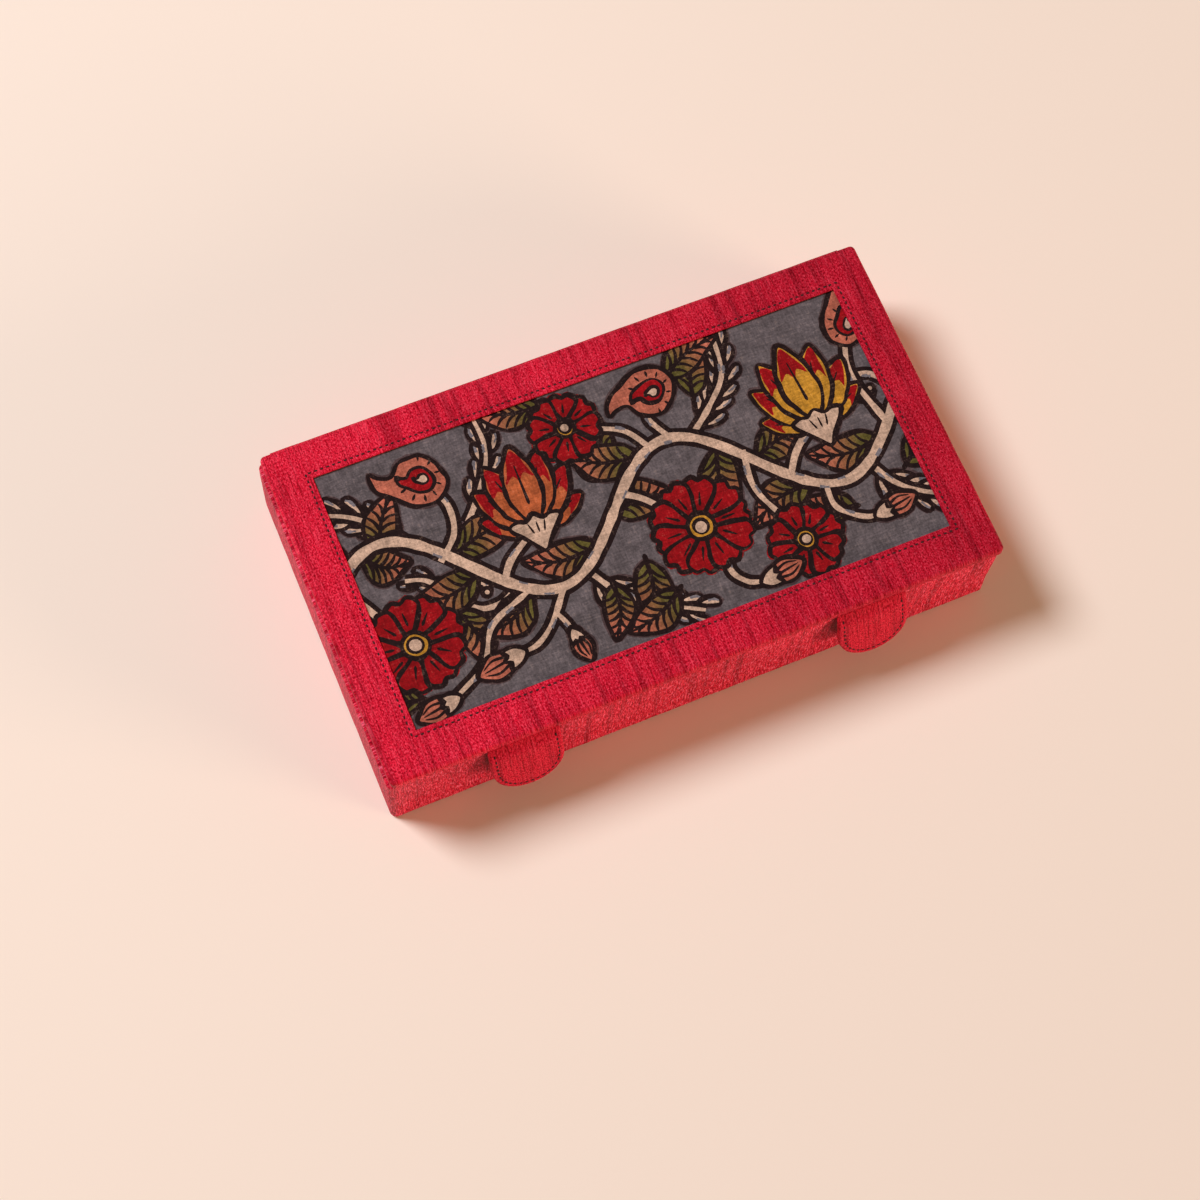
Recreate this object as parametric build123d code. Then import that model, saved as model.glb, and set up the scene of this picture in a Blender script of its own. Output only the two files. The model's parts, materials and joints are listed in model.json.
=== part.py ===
"""Hand-painted jewelry box: a flat board box wrapped in raw silk, with a painted cotton panel
framed in its lid, a cloth hinge along the back and two half-round closing tabs at the front.

Millimetres. +X runs along the long side, +Y points to the hinge, +Z up. The origin is the middle
of the underside, on the surface that the box stands on.
"""

from build123d import *
import os

# Whole box
LID_LENGTH = 229.0
LID_WIDTH = 128.0
TOTAL_HEIGHT = 39.5
BASE_LENGTH = 226.6
BASE_WIDTH = 127.0
LID_SHIFT = 1.0  # the lid sits this far to the right of the base, as the handmade one does
CORNER_RADIUS = 1.6
EDGE_RADIUS = 0.9

# Sheet materials
SILK = 0.5
BOARD = 3.0
LID_BOARD = 2.1
CARD = 1.5
UNDERSIDE_SHEET = 0.5

# Lid
LID_THICKNESS = 4.2
BORDER_LEFT = 14.9
BORDER_RIGHT = 14.5
BORDER_FRONT = 15.3
BORDER_BACK = 14.2
HEM_WIDTH = 6.0
HEM = 0.4
PANEL = 0.3
PANEL_LAP = 7.0  # the painted cotton runs this far under the silk frame
LID_TURN_IN = 12.0
MITRE_SLIT = 0.3

# Base
SEAM_GAP = 0.7  # between the rim of the base and the underside of the lid
BASE_TURN_IN = 8.0
RIM_TURN_IN = 8.0
LINING_BELOW_RIM = 2.5
UNDERSIDE_INSET = 2.0
PAD_FOAM = 3.0
PAD_EDGE_RADIUS = 1.2
LID_LINING_CLEARANCE = 1.0

# Cloth hinge along the back
HINGE_END_INSET = 4.0
HINGE_LEAF_ON_WALL = 18.0
HINGE_LEAF_ON_LID = 3.0
HINGE_FOLD_RADIUS = 0.33
HINGE_AXIS_BEHIND_LID = 0.35

# Closing tabs
TAB_NAMES = ("left", "right")
TAB_CENTRES = (-66.0, 64.0)
TAB_WIDTH = 26.5
TAB_LENGTH = 23.5
TAB_CORE = 0.9
TAB_BACKING = 0.4
TAB_BACKING_INSET = 1.2
TAB_TILT = 20.0  # the tabs stand this many degrees away from the front wall
TAB_AXIS_BEFORE_LID = 0.3
TAB_FOLD_RADIUS = 0.28
TAB_ROOT = 4.0  # only cloth this far down, so that the tab can bend
TAB_ROOT_START = 0.1
TAB_ROOT_THICKNESS = 0.9
TAB_EDGE_RADIUS = 0.4
TONGUE_WIDTH = 22.0
TONGUE_UNDER_LINING = 8.0
TAB_MAGNET_RADIUS = 4.0
WALL_MAGNET_RADIUS = 5.0
WALL_MAGNET = 1.5
MAGNET_BELOW_AXIS = 14.5

# Levels worked out from the sizes above
LID_BOTTOM = TOTAL_HEIGHT - LID_THICKNESS
LID_BOARD_BOTTOM = LID_BOTTOM + SILK
LID_BOARD_TOP = LID_BOARD_BOTTOM + LID_BOARD
SILK_UNDER = TOTAL_HEIGHT - SILK
PANEL_TOP = SILK_UNDER - HEM
PANEL_BOTTOM = PANEL_TOP - PANEL
RIM = LID_BOTTOM - SEAM_GAP
FLOOR_BOTTOM = UNDERSIDE_SHEET + SILK
FLOOR_TOP = FLOOR_BOTTOM + BOARD
WALL_TOP = RIM - SILK
LINING_TOP = RIM - LINING_BELOW_RIM
LID_LINING_BOTTOM = LID_BOTTOM - CARD
PAD_TOP = FLOOR_TOP + PAD_FOAM + SILK

# Insets from the outside of the base to its inner layers
WALL_INNER = SILK + BOARD
TURN_IN_INNER = WALL_INNER + SILK
LINING_INNER = TURN_IN_INNER + CARD

# Window in the silk frame
WINDOW_LENGTH = LID_LENGTH - BORDER_LEFT - BORDER_RIGHT
WINDOW_WIDTH = LID_WIDTH - BORDER_FRONT - BORDER_BACK
WINDOW_X = LID_SHIFT + (BORDER_LEFT - BORDER_RIGHT) / 2
WINDOW_Y = (BORDER_FRONT - BORDER_BACK) / 2

# Hinge lines
LID_AXIS_Y = LID_WIDTH / 2 + HINGE_AXIS_BEHIND_LID
LID_AXIS_Z = LID_BOTTOM - SEAM_GAP / 2
TAB_AXIS_Y = -LID_WIDTH / 2 - TAB_AXIS_BEFORE_LID
TAB_AXIS_Z = LID_BOTTOM - 0.3

# Tab layers, counted outwards from the face that meets the wall
TAB_CORE_FRONT = TAB_BACKING + TAB_CORE
TAB_THICKNESS = TAB_CORE_FRONT + SILK

# Cuts run this far past the face that they open, and edges are found within this of their place
PAST = 1.0
CLOSE = 0.001


def slab(length, width, bottom, top, corner=0.0, centre=(0.0, 0.0)):
    """A flat plate between two heights, with rounded upright corners where corner isn't 0."""
    outline = RectangleRounded(length, width, corner) if corner else Rectangle(length, width)
    return Pos(centre[0], centre[1], bottom) * extrude(outline, top - bottom)


def base_slab(inset, bottom, top):
    """A plate with the outline of the base, drawn in by inset all round."""
    corner = max(CORNER_RADIUS - inset, 0.0)
    return slab(BASE_LENGTH - 2 * inset, BASE_WIDTH - 2 * inset, bottom, top, corner)


def lid_slab(inset, bottom, top):
    """A plate with the outline of the lid, drawn in by inset all round."""
    corner = max(CORNER_RADIUS - inset, 0.0)
    size = (LID_LENGTH - 2 * inset, LID_WIDTH - 2 * inset)
    return slab(*size, bottom, top, corner, (LID_SHIFT, 0.0))


def window_slab(lap, bottom, top):
    """A plate with the outline of the window, grown by lap all round."""
    size = (WINDOW_LENGTH + 2 * lap, WINDOW_WIDTH + 2 * lap)
    return slab(*size, bottom, top, 0.0, (WINDOW_X, WINDOW_Y))


def edges_at(solid, axis, position):
    """The edges of the solid that lie at one position along an axis."""
    return solid.edges().filter_by_position(axis, position - CLOSE, position + CLOSE)


def softened(solid, heights):
    """The solid with the edges at the given heights rounded, as wrapped cloth is."""
    for height in heights:
        solid = fillet(edges_at(solid, Axis.Z, height), EDGE_RADIUS)
    return solid


def mitre_slits(length, width, turn_in, bottom, top, centre_x=0.0):
    """Four thin diagonal plates, one at each corner, where folded cloth meets in a mitre."""
    reach = 2 * turn_in
    slits = []
    for side in (-1, 1):
        for end in (-1, 1):
            angle = 45.0 * side * end
            plate = slab(reach, MITRE_SLIT, bottom, top)
            inner = reach * 0.5 * 0.5**0.5 + SILK + MITRE_SLIT
            place = Pos(centre_x + side * (length / 2 - inner), end * (width / 2 - inner), 0)
            slits.append(place * Rot(0, 0, angle) * plate)
    return slits


def bottom_board():
    return base_slab(SILK, FLOOR_BOTTOM, FLOOR_TOP)


def long_wall_board(side):
    """The front (-1) or back (1) wall, which runs the whole length of the base."""
    ring = base_slab(SILK, FLOOR_TOP, WALL_TOP)
    middle = side * (BASE_WIDTH / 2 - SILK - BOARD / 2)
    return ring & slab(BASE_LENGTH, BOARD, FLOOR_TOP, WALL_TOP, 0.0, (0.0, middle))


def short_wall_board(side):
    """The left (-1) or right (1) wall, which fits between the long ones."""
    middle = side * (BASE_LENGTH / 2 - SILK - BOARD / 2)
    size = (BOARD, BASE_WIDTH - 2 * WALL_INNER)
    return slab(*size, FLOOR_TOP, WALL_TOP, 0.0, (middle, 0.0))


def wall_magnet(centre_x):
    """A disc let into the front face of the front wall, under the silk."""
    height = TAB_AXIS_Z - MAGNET_BELOW_AXIS
    disc = extrude(Circle(WALL_MAGNET_RADIUS), WALL_MAGNET)
    return Pos(centre_x, -BASE_WIDTH / 2 + SILK, height) * Rot(-90, 0, 0) * disc


def wall_cover():
    """One band of silk round the four walls, turned over the rim and under the floor."""
    outside = softened(base_slab(0.0, UNDERSIDE_SHEET, RIM), (UNDERSIDE_SHEET, RIM))
    band = outside - base_slab(SILK, FLOOR_BOTTOM, WALL_TOP)
    band -= base_slab(TURN_IN_INNER, FLOOR_TOP, RIM + PAST)
    band -= base_slab(SILK + BASE_TURN_IN, UNDERSIDE_SHEET - PAST, FLOOR_BOTTOM)
    turn_in = base_slab(WALL_INNER, RIM - RIM_TURN_IN, WALL_TOP)
    turn_in -= base_slab(TURN_IN_INNER, RIM - RIM_TURN_IN, WALL_TOP)
    band += turn_in
    slits = mitre_slits(BASE_LENGTH, BASE_WIDTH, BASE_TURN_IN, UNDERSIDE_SHEET - PAST, FLOOR_BOTTOM)
    for slit in slits:
        band -= slit & base_slab(SILK + MITRE_SLIT, UNDERSIDE_SHEET - PAST, FLOOR_BOTTOM)
    return band


def underside_cover():
    """The sheet under the floor. It dips up into the middle, inside the turned-in silk."""
    sheet = base_slab(UNDERSIDE_INSET, 0.0, UNDERSIDE_SHEET)
    return sheet + base_slab(SILK + BASE_TURN_IN + MITRE_SLIT, UNDERSIDE_SHEET, FLOOR_BOTTOM)


def long_lining(side):
    """A cloth-wrapped card on the inside of the front (-1) or back (1) wall."""
    middle = side * (BASE_WIDTH / 2 - TURN_IN_INNER - CARD / 2)
    size = (BASE_LENGTH - 2 * TURN_IN_INNER, CARD)
    card = slab(*size, FLOOR_TOP, LINING_TOP, 0.0, (0.0, middle))
    return fillet(edges_at(card, Axis.Z, LINING_TOP), CARD / 3)


def short_lining(side):
    """A cloth-wrapped card on the inside of the left (-1) or right (1) wall."""
    middle = side * (BASE_LENGTH / 2 - TURN_IN_INNER - CARD / 2)
    size = (CARD, BASE_WIDTH - 2 * LINING_INNER)
    card = slab(*size, FLOOR_TOP, LINING_TOP, 0.0, (middle, 0.0))
    return fillet(edges_at(card, Axis.Z, LINING_TOP), CARD / 3)


def pad_foam():
    return base_slab(LINING_INNER + SILK, FLOOR_TOP, PAD_TOP - SILK)


def pad_cloth():
    """The cloth stretched over the floor's foam and down its four sides."""
    outside = base_slab(LINING_INNER, FLOOR_TOP, PAD_TOP)
    outside = fillet(edges_at(outside, Axis.Z, PAD_TOP), PAD_EDGE_RADIUS)
    return outside - pad_foam()


def hinge_leaf_on_wall():
    """The strip of silk that the lid hangs on, where it is glued to the back wall."""
    length = BASE_LENGTH - 2 * HINGE_END_INSET
    middle = BASE_WIDTH / 2 + SILK / 2
    return slab(length, SILK, RIM - HINGE_LEAF_ON_WALL, LID_AXIS_Z, 0.0, (0.0, middle))


def hinge_leaf_on_lid():
    """The same strip on the lid's back edge, with the fold that it turns on."""
    length = BASE_LENGTH - 2 * HINGE_END_INSET
    middle = LID_WIDTH / 2 + SILK / 2
    leaf = slab(length, SILK, LID_BOTTOM, LID_BOTTOM + HINGE_LEAF_ON_LID, 0.0, (0.0, middle))
    fold = extrude(Circle(HINGE_FOLD_RADIUS), length)
    fold = Pos(-length / 2, LID_AXIS_Y, LID_AXIS_Z) * Rot(0, 90, 0) * fold
    neck = slab(length, SILK / 2, LID_AXIS_Z, LID_BOTTOM, 0.0, (0.0, LID_AXIS_Y))
    return leaf + fold + neck


def lid_board():
    return lid_slab(SILK, LID_BOARD_BOTTOM, LID_BOARD_TOP)


def lid_wadding():
    """Thin wadding over the board, sunk where the painted cotton and the hem lie."""
    sheet = lid_slab(SILK, LID_BOARD_TOP, SILK_UNDER)
    return sheet - window_slab(PANEL_LAP, PANEL_BOTTOM, SILK_UNDER + PAST)


def painted_panel():
    """The cotton that carries the painting."""
    return window_slab(PANEL_LAP, PANEL_BOTTOM, PANEL_TOP)


def lid_cover():
    """One sheet of silk round the lid: a window hemmed over the painted cotton, rolled edges,
    and a turn-in under the board that is mitred at its corners."""
    outside = softened(lid_slab(0.0, LID_BOTTOM, TOTAL_HEIGHT), (LID_BOTTOM, TOTAL_HEIGHT))
    cover = outside - lid_slab(SILK, LID_BOARD_BOTTOM, SILK_UNDER)
    cover += window_slab(HEM_WIDTH, PANEL_TOP, SILK_UNDER)
    cover -= window_slab(0.0, PANEL_TOP - PAST, TOTAL_HEIGHT + PAST)
    cover -= lid_slab(SILK + LID_TURN_IN, LID_BOTTOM - PAST, LID_BOARD_BOTTOM)
    mouth = window_slab(0.0, SILK_UNDER, TOTAL_HEIGHT)
    top_edges = edges_at(cover, Axis.Z, TOTAL_HEIGHT)
    inner = [edge for edge in top_edges if mouth.distance_to(edge.center()) < SILK / 2]
    cover = fillet(inner, SILK / 2)
    slits = mitre_slits(
        LID_LENGTH, LID_WIDTH, LID_TURN_IN, LID_BOTTOM - PAST, LID_BOARD_BOTTOM, LID_SHIFT
    )
    for slit in slits:
        cover -= slit & lid_slab(SILK + MITRE_SLIT, LID_BOTTOM - PAST, LID_BOARD_BOTTOM)
    return cover


def tab_tongue(centre_x):
    """The root of a tab's cloth, glued under the lid's front edge."""
    front = -LID_WIDTH / 2
    back = -BASE_WIDTH / 2 + TURN_IN_INNER + LID_LINING_CLEARANCE + TONGUE_UNDER_LINING
    middle = (front + back) / 2
    return slab(TONGUE_WIDTH, back - front, LID_BOTTOM - SILK, LID_BOTTOM, 0.0, (centre_x, middle))


def lid_lining():
    """The cloth-wrapped card under the lid. It drops just inside the rim of the base."""
    inset = TURN_IN_INNER + LID_LINING_CLEARANCE
    card = base_slab(inset, LID_LINING_BOTTOM, LID_BOTTOM)
    card = fillet(edges_at(card, Axis.Z, LID_LINING_BOTTOM), CARD / 3)
    for centre_x in TAB_CENTRES:
        card -= tab_tongue(centre_x)
    return card


def tab_plate(inset, start, back, front):
    """A U-shaped plate hanging straight down from the tab's hinge line.

    inset draws the outline in, start is how far below the hinge line it begins, and back and
    front are distances outwards from the face that meets the wall."""
    half = TAB_WIDTH / 2 - inset
    round_centre = TAB_LENGTH - TAB_WIDTH / 2
    outline = Line((-half, -start), (-half, -round_centre))
    outline += ThreePointArc((-half, -round_centre), (0, -round_centre - half), (half, -round_centre))
    outline += Line((half, -round_centre), (half, -start))
    outline += Line((half, -start), (-half, -start))
    plate = extrude(make_face(outline), front - back, dir=(0, 0, 1))
    return Pos(0, -back, 0) * Rot(90, 0, 0) * plate


def on_tab(solid, centre_x):
    """Moves a solid from the tab's hanging frame to the box, leaning out from the wall."""
    return Pos(centre_x, TAB_AXIS_Y, TAB_AXIS_Z) * Rot(-TAB_TILT, 0, 0) * solid


def tab_face():
    """The silk on the front of a tab, wrapped round its core, thin at the bend."""
    face = tab_plate(0.0, TAB_ROOT_START, TAB_BACKING, TAB_THICKNESS)
    front_edges = edges_at(face, Axis.Y, -TAB_THICKNESS)
    top = front_edges.sort_by(Axis.Z)[-1]
    face = fillet([edge for edge in front_edges if edge != top], TAB_EDGE_RADIUS)
    face -= tab_plate(SILK, TAB_ROOT, TAB_BACKING, TAB_CORE_FRONT)
    thin = TAB_THICKNESS - TAB_ROOT_THICKNESS
    wedge = Polyline(
        (-TAB_ROOT_THICKNESS, 0),
        (-TAB_THICKNESS - thin, 0),
        (-TAB_THICKNESS - thin, -TAB_ROOT),
        (-TAB_THICKNESS, -TAB_ROOT),
        close=True,
    )
    wedge = extrude(Plane.YZ * make_face(wedge), TAB_WIDTH, both=True)
    fold = extrude(Circle(TAB_FOLD_RADIUS), TAB_WIDTH)
    fold = Pos(-TAB_WIDTH / 2, 0, 0) * Rot(0, 90, 0) * fold
    lip = tab_plate(0.0, TAB_ROOT_START, 0.0, TAB_BACKING) & Box(TAB_WIDTH, PAST, 2 * TAB_BACKING)
    return (face - wedge) + fold + lip


def tab_core():
    """The stiffener inside a tab, with the seat of its magnet."""
    return tab_plate(SILK, TAB_ROOT, TAB_BACKING, TAB_CORE_FRONT) - tab_magnet()


def tab_backing():
    """The facing on the side of a tab that meets the wall."""
    return tab_plate(TAB_BACKING_INSET, TAB_BACKING, 0.0, TAB_BACKING)


def tab_magnet():
    disc = extrude(Circle(TAB_MAGNET_RADIUS), TAB_CORE)
    return Pos(0, -TAB_BACKING, -MAGNET_BELOW_AXIS) * Rot(90, 0, 0) * disc


def base_parts():
    parts = {
        "bottom_board": bottom_board(),
        "back_wall_board": long_wall_board(1),
        "left_wall_board": short_wall_board(-1),
        "right_wall_board": short_wall_board(1),
        "wall_cover": wall_cover(),
        "underside_cover": underside_cover(),
        "front_lining": long_lining(-1),
        "back_lining": long_lining(1),
        "left_lining": short_lining(-1),
        "right_lining": short_lining(1),
        "floor_foam": pad_foam(),
        "floor_cloth": pad_cloth(),
        "hinge_cloth_wall": hinge_leaf_on_wall(),
    }
    front = long_wall_board(-1)
    for name, centre_x in zip(TAB_NAMES, TAB_CENTRES):
        magnet = wall_magnet(centre_x)
        front -= magnet
        parts["wall_magnet_" + name] = magnet
    parts["front_wall_board"] = front
    return parts


def lid_parts():
    parts = {
        "lid_board": lid_board(),
        "lid_wadding": lid_wadding(),
        "painted_panel": painted_panel(),
        "lid_cover": lid_cover(),
        "lid_lining": lid_lining(),
        "hinge_cloth_lid": hinge_leaf_on_lid(),
    }
    for name, centre_x in zip(TAB_NAMES, TAB_CENTRES):
        parts["tab_tongue_" + name] = tab_tongue(centre_x)
    return parts


def tab_parts():
    parts = {}
    for name, centre_x in zip(TAB_NAMES, TAB_CENTRES):
        parts[f"tab_{name}_face"] = on_tab(tab_face(), centre_x)
        parts[f"tab_{name}_core"] = on_tab(tab_core(), centre_x)
        parts[f"tab_{name}_backing"] = on_tab(tab_backing(), centre_x)
        parts[f"tab_{name}_magnet"] = on_tab(tab_magnet(), centre_x)
    return parts


os.makedirs("parts", exist_ok=True)
for node, solid in {**base_parts(), **lid_parts(), **tab_parts()}.items():
    export_step(solid, f"parts/{node}.step")
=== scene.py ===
"""Looks of the hand-painted jewelry box: raw silk over board, a painted cotton panel framed in the
lid, machine topstitching, a cloth hinge, two closing tabs and a lined inside.

Shapes are worked out in millimetres, from the packed frame, and written to the meshes in metres.
"""

import json
import math
import random

import bmesh
import bpy
import numpy as np
from mathutils import Matrix, Vector
from mathutils.geometry import delaunay_2d_cdt


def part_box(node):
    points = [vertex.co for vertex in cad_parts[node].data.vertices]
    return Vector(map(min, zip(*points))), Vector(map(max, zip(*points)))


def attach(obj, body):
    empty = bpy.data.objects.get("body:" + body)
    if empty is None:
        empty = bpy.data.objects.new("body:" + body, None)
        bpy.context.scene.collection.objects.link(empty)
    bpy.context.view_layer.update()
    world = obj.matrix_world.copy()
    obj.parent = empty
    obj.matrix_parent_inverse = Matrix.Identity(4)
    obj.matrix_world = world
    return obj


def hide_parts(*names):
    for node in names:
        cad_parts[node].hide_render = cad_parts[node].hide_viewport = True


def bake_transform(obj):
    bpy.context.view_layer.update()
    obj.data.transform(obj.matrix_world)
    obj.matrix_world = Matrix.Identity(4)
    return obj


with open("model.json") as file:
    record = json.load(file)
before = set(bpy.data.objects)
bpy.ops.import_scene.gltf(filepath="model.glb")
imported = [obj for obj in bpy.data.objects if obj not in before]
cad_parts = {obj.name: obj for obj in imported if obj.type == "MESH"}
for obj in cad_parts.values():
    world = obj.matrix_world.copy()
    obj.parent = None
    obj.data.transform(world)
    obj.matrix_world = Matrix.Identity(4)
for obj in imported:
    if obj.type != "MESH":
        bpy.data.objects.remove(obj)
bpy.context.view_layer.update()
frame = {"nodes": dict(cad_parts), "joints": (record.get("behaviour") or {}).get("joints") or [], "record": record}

bl_info = {
    "name": "Painted jewelry box",
    "version": (1, 0, 0),
    "blender": (4, 5, 0),
    "location": "View3D > Sidebar > Jewelry box",
    "description": "Makes the cloth, paint, stitches and finishes of a silk-covered jewelry box",
    "category": "Object",
}

MM = 0.001


def linear(code):
    """An sRGB hex colour as linear red, green and blue."""
    parts = [int(code[i : i + 2], 16) / 255 for i in (1, 3, 5)]
    return tuple(p / 12.92 if p <= 0.04045 else ((p + 0.055) / 1.055) ** 2.4 for p in parts)


def box_mm(node):
    """Lowest and highest corner of a CAD node, in millimetres."""
    low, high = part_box(node)
    return np.array(low) / MM, np.array(high) / MM


def joint_mm(name):
    """The place of a joint's axis, in millimetres."""
    joint = next(j for j in frame["joints"] if j["name"] == name)
    return np.array(joint["pos_m"]) / MM


# Levels and outlines read from the frame
LID_LOW, LID_HIGH = box_mm("lid_cover")
BASE_LOW, BASE_HIGH = box_mm("wall_cover")
PANEL_LOW, PANEL_HIGH = box_mm("painted_panel")
LID_AXIS = joint_mm("lid_hinge")
TABS = {side: joint_mm(side + "_tab_hinge") for side in ("left", "right")}
PANEL_LAP = 7.0
WINDOW_LOW = PANEL_LOW[:2] + PANEL_LAP
WINDOW_HIGH = PANEL_HIGH[:2] - PANEL_LAP
TAB_TILT = math.radians(20)


class SilkSettings(bpy.types.PropertyGroup):
    """The raw silk and how it is wrapped."""

    colour: bpy.props.FloatVectorProperty(
        name="Colour", description="Dye of the raw silk", subtype="COLOR", size=3,
        default=linear("#dd1838"),
    )
    shade: bpy.props.FloatVectorProperty(
        name="Shade", description="Colour between its threads", subtype="COLOR", size=3,
        default=linear("#86000f"),
    )
    gleam: bpy.props.FloatVectorProperty(
        name="Gleam", description="Colour of the threads that catch the light", subtype="COLOR",
        size=3, default=linear("#f9506a"),
    )
    thickness: bpy.props.FloatProperty(
        name="Thickness", description="Thickness of the glued silk", unit="LENGTH",
        default=0.35 * MM, min=0.1 * MM, max=1 * MM,
    )
    thread: bpy.props.FloatProperty(
        name="Thread spacing", description="Distance from thread to thread", unit="LENGTH",
        default=0.5 * MM, min=0.1 * MM, max=1 * MM,
    )
    lid_roll: bpy.props.FloatProperty(
        name="Lid edge", description="Radius of the silk over the lid's upper edge",
        unit="LENGTH", default=1.35 * MM, min=0.5 * MM, max=1.6 * MM,
    )
    corner: bpy.props.FloatProperty(
        name="Corner", description="Radius of the upright corners", unit="LENGTH",
        default=1.9 * MM, min=0.6 * MM, max=4 * MM,
    )


class StitchSettings(bpy.types.PropertyGroup):
    """The machine topstitching."""

    pitch: bpy.props.FloatProperty(
        name="Pitch", description="Length from stitch to stitch", unit="LENGTH",
        default=2.2 * MM, min=1 * MM, max=5 * MM,
    )
    thickness: bpy.props.FloatProperty(
        name="Thread", description="Thickness of the thread", unit="LENGTH",
        default=0.68 * MM, min=0.1 * MM, max=1 * MM,
    )
    inset: bpy.props.FloatProperty(
        name="Inset", description="Distance from a sewn edge", unit="LENGTH",
        default=2.1 * MM, min=0.5 * MM, max=5 * MM,
    )
    colour: bpy.props.FloatVectorProperty(
        name="Colour", description="Dye of the thread", subtype="COLOR", size=3,
        default=linear("#1c0508"),
    )


class PaintSettings(bpy.types.PropertyGroup):
    """The dyes and paints of the cotton panel."""

    ground: bpy.props.FloatVectorProperty(
        name="Ground", description="Slate dye of the cotton", subtype="COLOR", size=3,
        default=linear("#635c60"),
    )
    stain: bpy.props.FloatVectorProperty(
        name="Stain", description="Dye that crept out of the ink", subtype="COLOR", size=3,
        default=linear("#4f3f41"),
    )
    ink: bpy.props.FloatVectorProperty(
        name="Ink", description="Brown-black of the brush lines", subtype="COLOR", size=3,
        default=linear("#231516"),
    )
    cream: bpy.props.FloatVectorProperty(
        name="Cream", description="Undyed cotton", subtype="COLOR", size=3,
        default=linear("#c8aa95"),
    )
    smudge: bpy.props.FloatVectorProperty(
        name="Smudge", description="Ground colour run over the cream", subtype="COLOR", size=3,
        default=linear("#77737a"),
    )
    crimson: bpy.props.FloatVectorProperty(
        name="Crimson", description="Madder red of the petals", subtype="COLOR", size=3,
        default=linear("#960b15"),
    )
    wine: bpy.props.FloatVectorProperty(
        name="Wine", description="The same red where it is laid on twice", subtype="COLOR",
        size=3, default=linear("#760810"),
    )
    ochre: bpy.props.FloatVectorProperty(
        name="Ochre", description="Yellow of the large petals", subtype="COLOR", size=3,
        default=linear("#c08b2f"),
    )
    orange: bpy.props.FloatVectorProperty(
        name="Orange", description="Orange of the large petals", subtype="COLOR", size=3,
        default=linear("#b45d36"),
    )
    pink: bpy.props.FloatVectorProperty(
        name="Pink", description="Dusty pink of buds and leaf tips", subtype="COLOR", size=3,
        default=linear("#b56753"),
    )
    olive: bpy.props.FloatVectorProperty(
        name="Olive", description="Olive green of the leaves", subtype="COLOR", size=3,
        default=linear("#5f582a"),
    )
    line: bpy.props.FloatProperty(
        name="Brush line", description="Usual width of a brush line", unit="LENGTH",
        default=1.82 * MM, min=0.3 * MM, max=3 * MM,
    )


class LiningSettings(bpy.types.PropertyGroup):
    """The cotton inside the box."""

    colour: bpy.props.FloatVectorProperty(
        name="Colour", description="Dye of the lining cotton", subtype="COLOR", size=3,
        default=linear("#8e1524"),
    )
    crown: bpy.props.FloatProperty(
        name="Crown", description="Rise of the padded floor at its middle", unit="LENGTH",
        default=1.2 * MM, min=0, max=3 * MM,
    )


# Mesh helpers

# No corner is sharper than this, in millimetres, so that its points stay apart
SMALLEST_RADIUS = 0.001


def new_object(name, mesh):
    """An object at the origin that holds the mesh, in the scene's collection."""
    piece = bpy.data.objects.new(name, mesh)
    bpy.context.scene.collection.objects.link(piece)
    return piece


def mesh_from(name, points, faces, uv=None):
    """A mesh from points in millimetres. uv, also in millimetres, gives a place on the cloth to
    each point, or to each corner of each face in turn."""
    mesh = bpy.data.meshes.new(name)
    mesh.from_pydata((np.asarray(points) * MM).tolist(), [], faces)
    if uv is not None:
        uv = np.asarray(uv, float)
        if len(uv) == len(mesh.vertices):
            corners = np.empty(len(mesh.loops), int)
            mesh.loops.foreach_get("vertex_index", corners)
            uv = uv[corners]
        layer = mesh.uv_layers.new(name="cloth")
        layer.data.foreach_set("uv", (uv * MM).astype(np.float32).ravel())
    mesh.update()
    return mesh


def grid_faces(rows, columns, round_columns=False, flip=False):
    """Quads between rows of points. round_columns joins the last column to the first."""
    faces = []
    spans = columns if round_columns else columns - 1
    for r in range(rows - 1):
        for c in range(spans):
            d = (c + 1) % columns
            quad = (r * columns + c, r * columns + d, (r + 1) * columns + d, (r + 1) * columns + c)
            faces.append(quad[::-1] if flip else quad)
    return faces


def apply_modifier(piece, kind, **settings):
    """Adds a modifier, sets it and applies it."""
    modifier = piece.modifiers.new(kind.title(), kind)
    for name, value in settings.items():
        setattr(modifier, name, value)
    with bpy.context.temp_override(object=piece, active_object=piece, selected_objects=[piece]):
        bpy.ops.object.modifier_apply(modifier=modifier.name)


def smooth(piece, angle=60):
    """Smooth shading up to an angle between faces, in degrees."""
    bpy.ops.object.select_all(action="DESELECT")
    piece.select_set(True)
    bpy.context.view_layer.objects.active = piece
    bpy.ops.object.shade_smooth_by_angle(angle=math.radians(angle))
    piece.select_set(False)


def merged(piece):
    """Closes seams and poles up to 0.004 mm wide, and turns the faces outwards."""
    shape = bmesh.new()
    shape.from_mesh(piece.data)
    bmesh.ops.remove_doubles(shape, verts=shape.verts, dist=0.004 * MM)
    bmesh.ops.recalc_face_normals(shape, faces=shape.faces)
    shape.to_mesh(piece.data)
    shape.free()
    return piece


def dress(piece, material, body=None):
    """Gives a piece its material, its slot and the body that it rides on."""
    piece.data.materials.clear()
    piece.data.materials.append(material)
    if body:
        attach(piece, body)


# The number of waves in a ripple, and the height that they usually add up to
WAVES = 7
WAVES_HEIGHT = 3.0


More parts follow.
